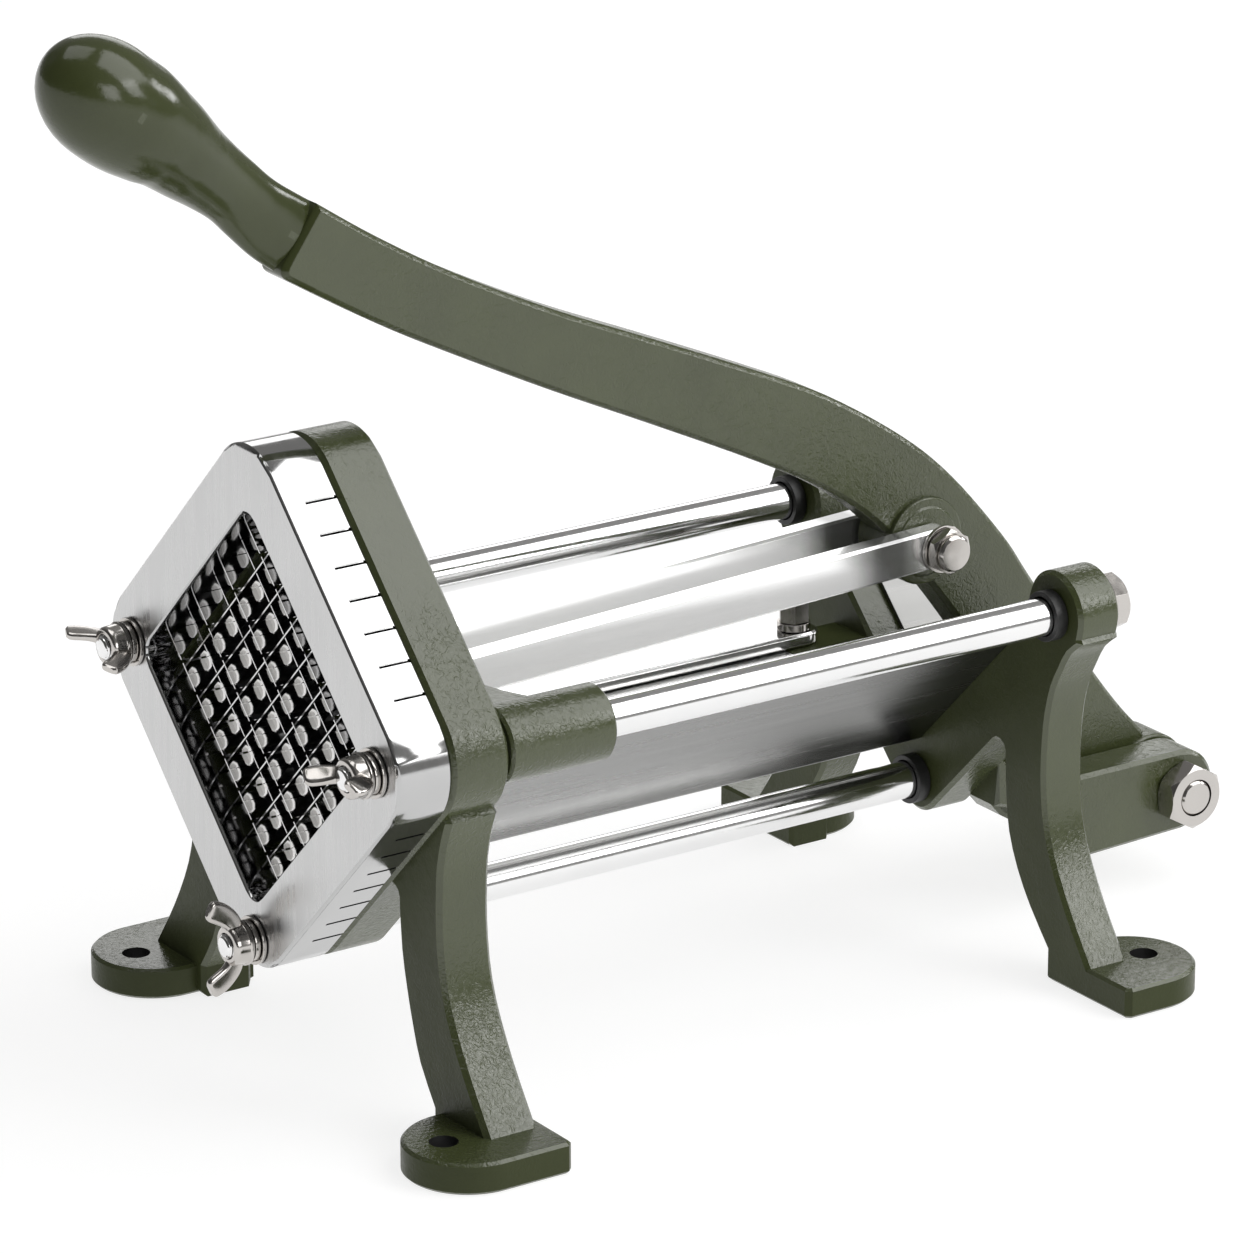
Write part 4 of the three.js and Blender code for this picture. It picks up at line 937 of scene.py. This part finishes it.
def wing_body(axis, angle, twist):
    """One wing: a curved petal of rounded section that leaves the hub and leans forward."""
    rows = catmull(WING_STATIONS, WING_STEPS)
    base = Vector((axis[0], NUT_BACK, axis[1]))
    bm = bmesh.new()
    loops = []
    for i, (out, ahead, wide, thick) in enumerate(rows):
        after, before = rows[min(i + 1, len(rows) - 1)], rows[max(i - 1, 0)]
        d = Vector((after[0] - before[0], after[1] - before[1])).normalized()
        loop = []
        for u, w in wing_section(wide, thick, twist):
            radial, forward = out - d.y * u, ahead + d.x * u
            x = radial * math.cos(angle) - w * math.sin(angle)
            z = radial * math.sin(angle) + w * math.cos(angle)
            loop.append(bm.verts.new((Vector((x, -forward, z)) + base) * MM))
        loops.append(loop)
    tube(bm, loops)
    bmesh.ops.recalc_face_normals(bm, faces=bm.faces)
    return bm


def make_wing_nut(side):
    node, axis = "wing_nut_" + side, ROD_AXES[side]
    angle, twist = math.radians(-WING_ANGLES[side]), math.radians(WING_TWISTS[side])
    hub = ring_body([(r, NUT_BACK - y) for r, y in NUT_HUB], "y", axis, NUT_BORE)
    wings = [wing_body(axis, angle + turn, twist) for turn in (0, math.pi)]
    piece = merge([hub, *wings], node + "_skin")
    shade(piece, BODY_SHARP_ANGLE)
    paint(piece, [finish["nickel"]])
    settle(piece, node)


for side in ROD_AXES:
    make_wing_nut(side)

# Trough, rail, links and their fasteners

SHEET_BEVEL, LINK_BEVEL, SCREW_BEVEL, LINK_BOLT_BEVEL = 0.15, 0.2, 0.12, 0.15
OUTWARD, DOWNWARD = 0.3, -0.3
SCREW_RISES = {"block_screw_upper": 17, "block_screw_lower": -17}


# The outside of the right wall, facing out and down, gets the sheet with painted shade.
def trough_pick(p):
    return 0 if p.normal.x > OUTWARD and p.normal.z < DOWNWARD else 1


dress("trough", bevel=SHEET_BEVEL, materials=[trough_painted_shade, bright_sheet], pick=trough_pick)
dress("trough_rail", bevel=SHEET_BEVEL)
for name in ("rail_screw_front", "rail_washer_rear", "rail_bolt_rear"):
    middle = box_in_mm(name)[2]
    dress(name, [("z", middle[:2], TURNED_CUTS)], SCREW_BEVEL)
dress("guard_plate_left", bevel=SHEET_BEVEL)
dress("guard_plate_right", bevel=SHEET_BEVEL)
link_ends = [("x", pin, SMALL_CUTS, eased(LINK_HALF, LINK_EASE)) for pin in (LINK_PIN, FRONT_PIN)]
for side in ("left", "right"):
    dress("link_" + side, link_ends, LINK_BEVEL, FINE_SEGMENTS, [link_painted_steel])
    dress("link_washer_" + side, [("x", LINK_PIN, SMALL_CUTS)], WASHER_BEVEL)
    dress("front_pin_" + side, [("x", FRONT_PIN, TURNED_CUTS)], SCREW_BEVEL)
    dress("sleeve_bush_" + side, [("y", ROD_AXES[side], SMALL_CUTS)])
dress("link_bolt", [("x", LINK_PIN, TURNED_CUTS)], LINK_BOLT_BEVEL)
dress("link_nut", [("x", LINK_PIN, TURNED_CUTS)], LINK_BOLT_BEVEL)
dress("pivot_bolt", [("x", PIVOT, TURNED_CUTS)], BOLT_BEVEL)
dress("pivot_nut", [("x", PIVOT, TURNED_CUTS)], BOLT_BEVEL)
for name, rise in SCREW_RISES.items():
    dress(name, [("y", (0, GRID_Z + rise), TURNED_CUTS)], SCREW_BEVEL)

# Stage: places and sizes in metres

FLOOR_HALF, FLOOR_SCALE = 14, 3
FLOOR_DARK, FLOOR_LIGHT, FLOOR_ROUGH, FLOOR_GLOW = 0.30, 0.32, 0.9, 0.80
MIDDLE, BENCH = (0, 0, 0.1), (0, 0, 0)
WORLD_COLOUR = (1.0, 0.99, 0.97, 1)
WORLD_FRONT, WORLD_REAR = -0.7, 0.3
WORLD_FRONT_STRENGTH, WORLD_REAR_STRENGTH = 0.06, 0.26

# Each lamp: name, place, what it faces, width, height, radiance
LAMPS = [
    ("key", (0.95, 1.2, 1.95), MIDDLE, 2.0, 2.0, 2.5),
    ("side", (1.9, 1.4, 1.15), MIDDLE, 0.9, 0.9, 3.5),
    ("top", (-0.4, -0.3, 2.0), BENCH, 1.2, 1.2, 1.5),
    ("rear", (0.3, 2.4, 0.95), MIDDLE, 0.6, 0.4, 8.0),
    ("right", (2.2, -0.1, 0.8), MIDDLE, 1.0, 0.9, 3.2),
    ("left", (-1.9, 1.3, 0.95), MIDDLE, 1.3, 0.9, 1.7),
]


def make_floor():
    mesh = bpy.data.meshes.new("floor")
    h = FLOOR_HALF
    mesh.from_pydata([(-h, -h, 0), (h, -h, 0), (h, h, 0), (-h, h, 0)], [], [(0, 1, 2, 3)])
    floor = bpy.data.objects.new("floor", mesh)
    bpy.context.scene.collection.objects.link(floor)
    m = Mat("floor_paint")
    m.out(m.tones(m.noise(FLOOR_SCALE, detail=2), grey(FLOOR_DARK), grey(FLOOR_LIGHT)), "Base Color")
    m.set(Roughness=FLOOR_ROUGH, Specular_IOR_Level=0.0)
    m.set(Emission_Color=(1, 1, 1, 1), Emission_Strength=FLOOR_GLOW)
    mesh.materials.append(m.mat)


def make_lamp(name, place, target, width, height, radiance):
    data = bpy.data.lights.new(name, "AREA")
    data.shape = "RECTANGLE"
    data.size, data.size_y = width, height
    data.energy = radiance * math.pi * width * height
    lamp = bpy.data.objects.new(name, data)
    lamp.location = place
    direction = Vector(target) - Vector(place)
    lamp.rotation_euler = direction.to_track_quat("-Z", "Y").to_euler()
    bpy.context.scene.collection.objects.link(lamp)


def make_world():
    """A dim studio, darker towards the front of the machine."""
    world = bpy.data.worlds.new("studio")
    bpy.context.scene.world = world
    world.use_nodes = True
    tree = world.node_tree
    coord = tree.nodes.new("ShaderNodeTexCoord")
    split = tree.nodes.new("ShaderNodeSeparateXYZ")
    tree.links.new(coord.outputs["Generated"], split.inputs["Vector"])
    shade_off = tree.nodes.new("ShaderNodeMapRange")
    shade_off.inputs["From Min"].default_value = WORLD_FRONT
    shade_off.inputs["From Max"].default_value = WORLD_REAR
    shade_off.inputs["To Min"].default_value = WORLD_FRONT_STRENGTH
    shade_off.inputs["To Max"].default_value = WORLD_REAR_STRENGTH
    tree.links.new(split.outputs["Y"], shade_off.inputs["Value"])
    back = tree.nodes["Background"]
    back.inputs["Color"].default_value = WORLD_COLOUR
    tree.links.new(shade_off.outputs["Result"], back.inputs["Strength"])


make_floor()
make_world()
for lamp in LAMPS:
    make_lamp(*lamp)
bpy.context.scene.view_settings.view_transform = "Standard"
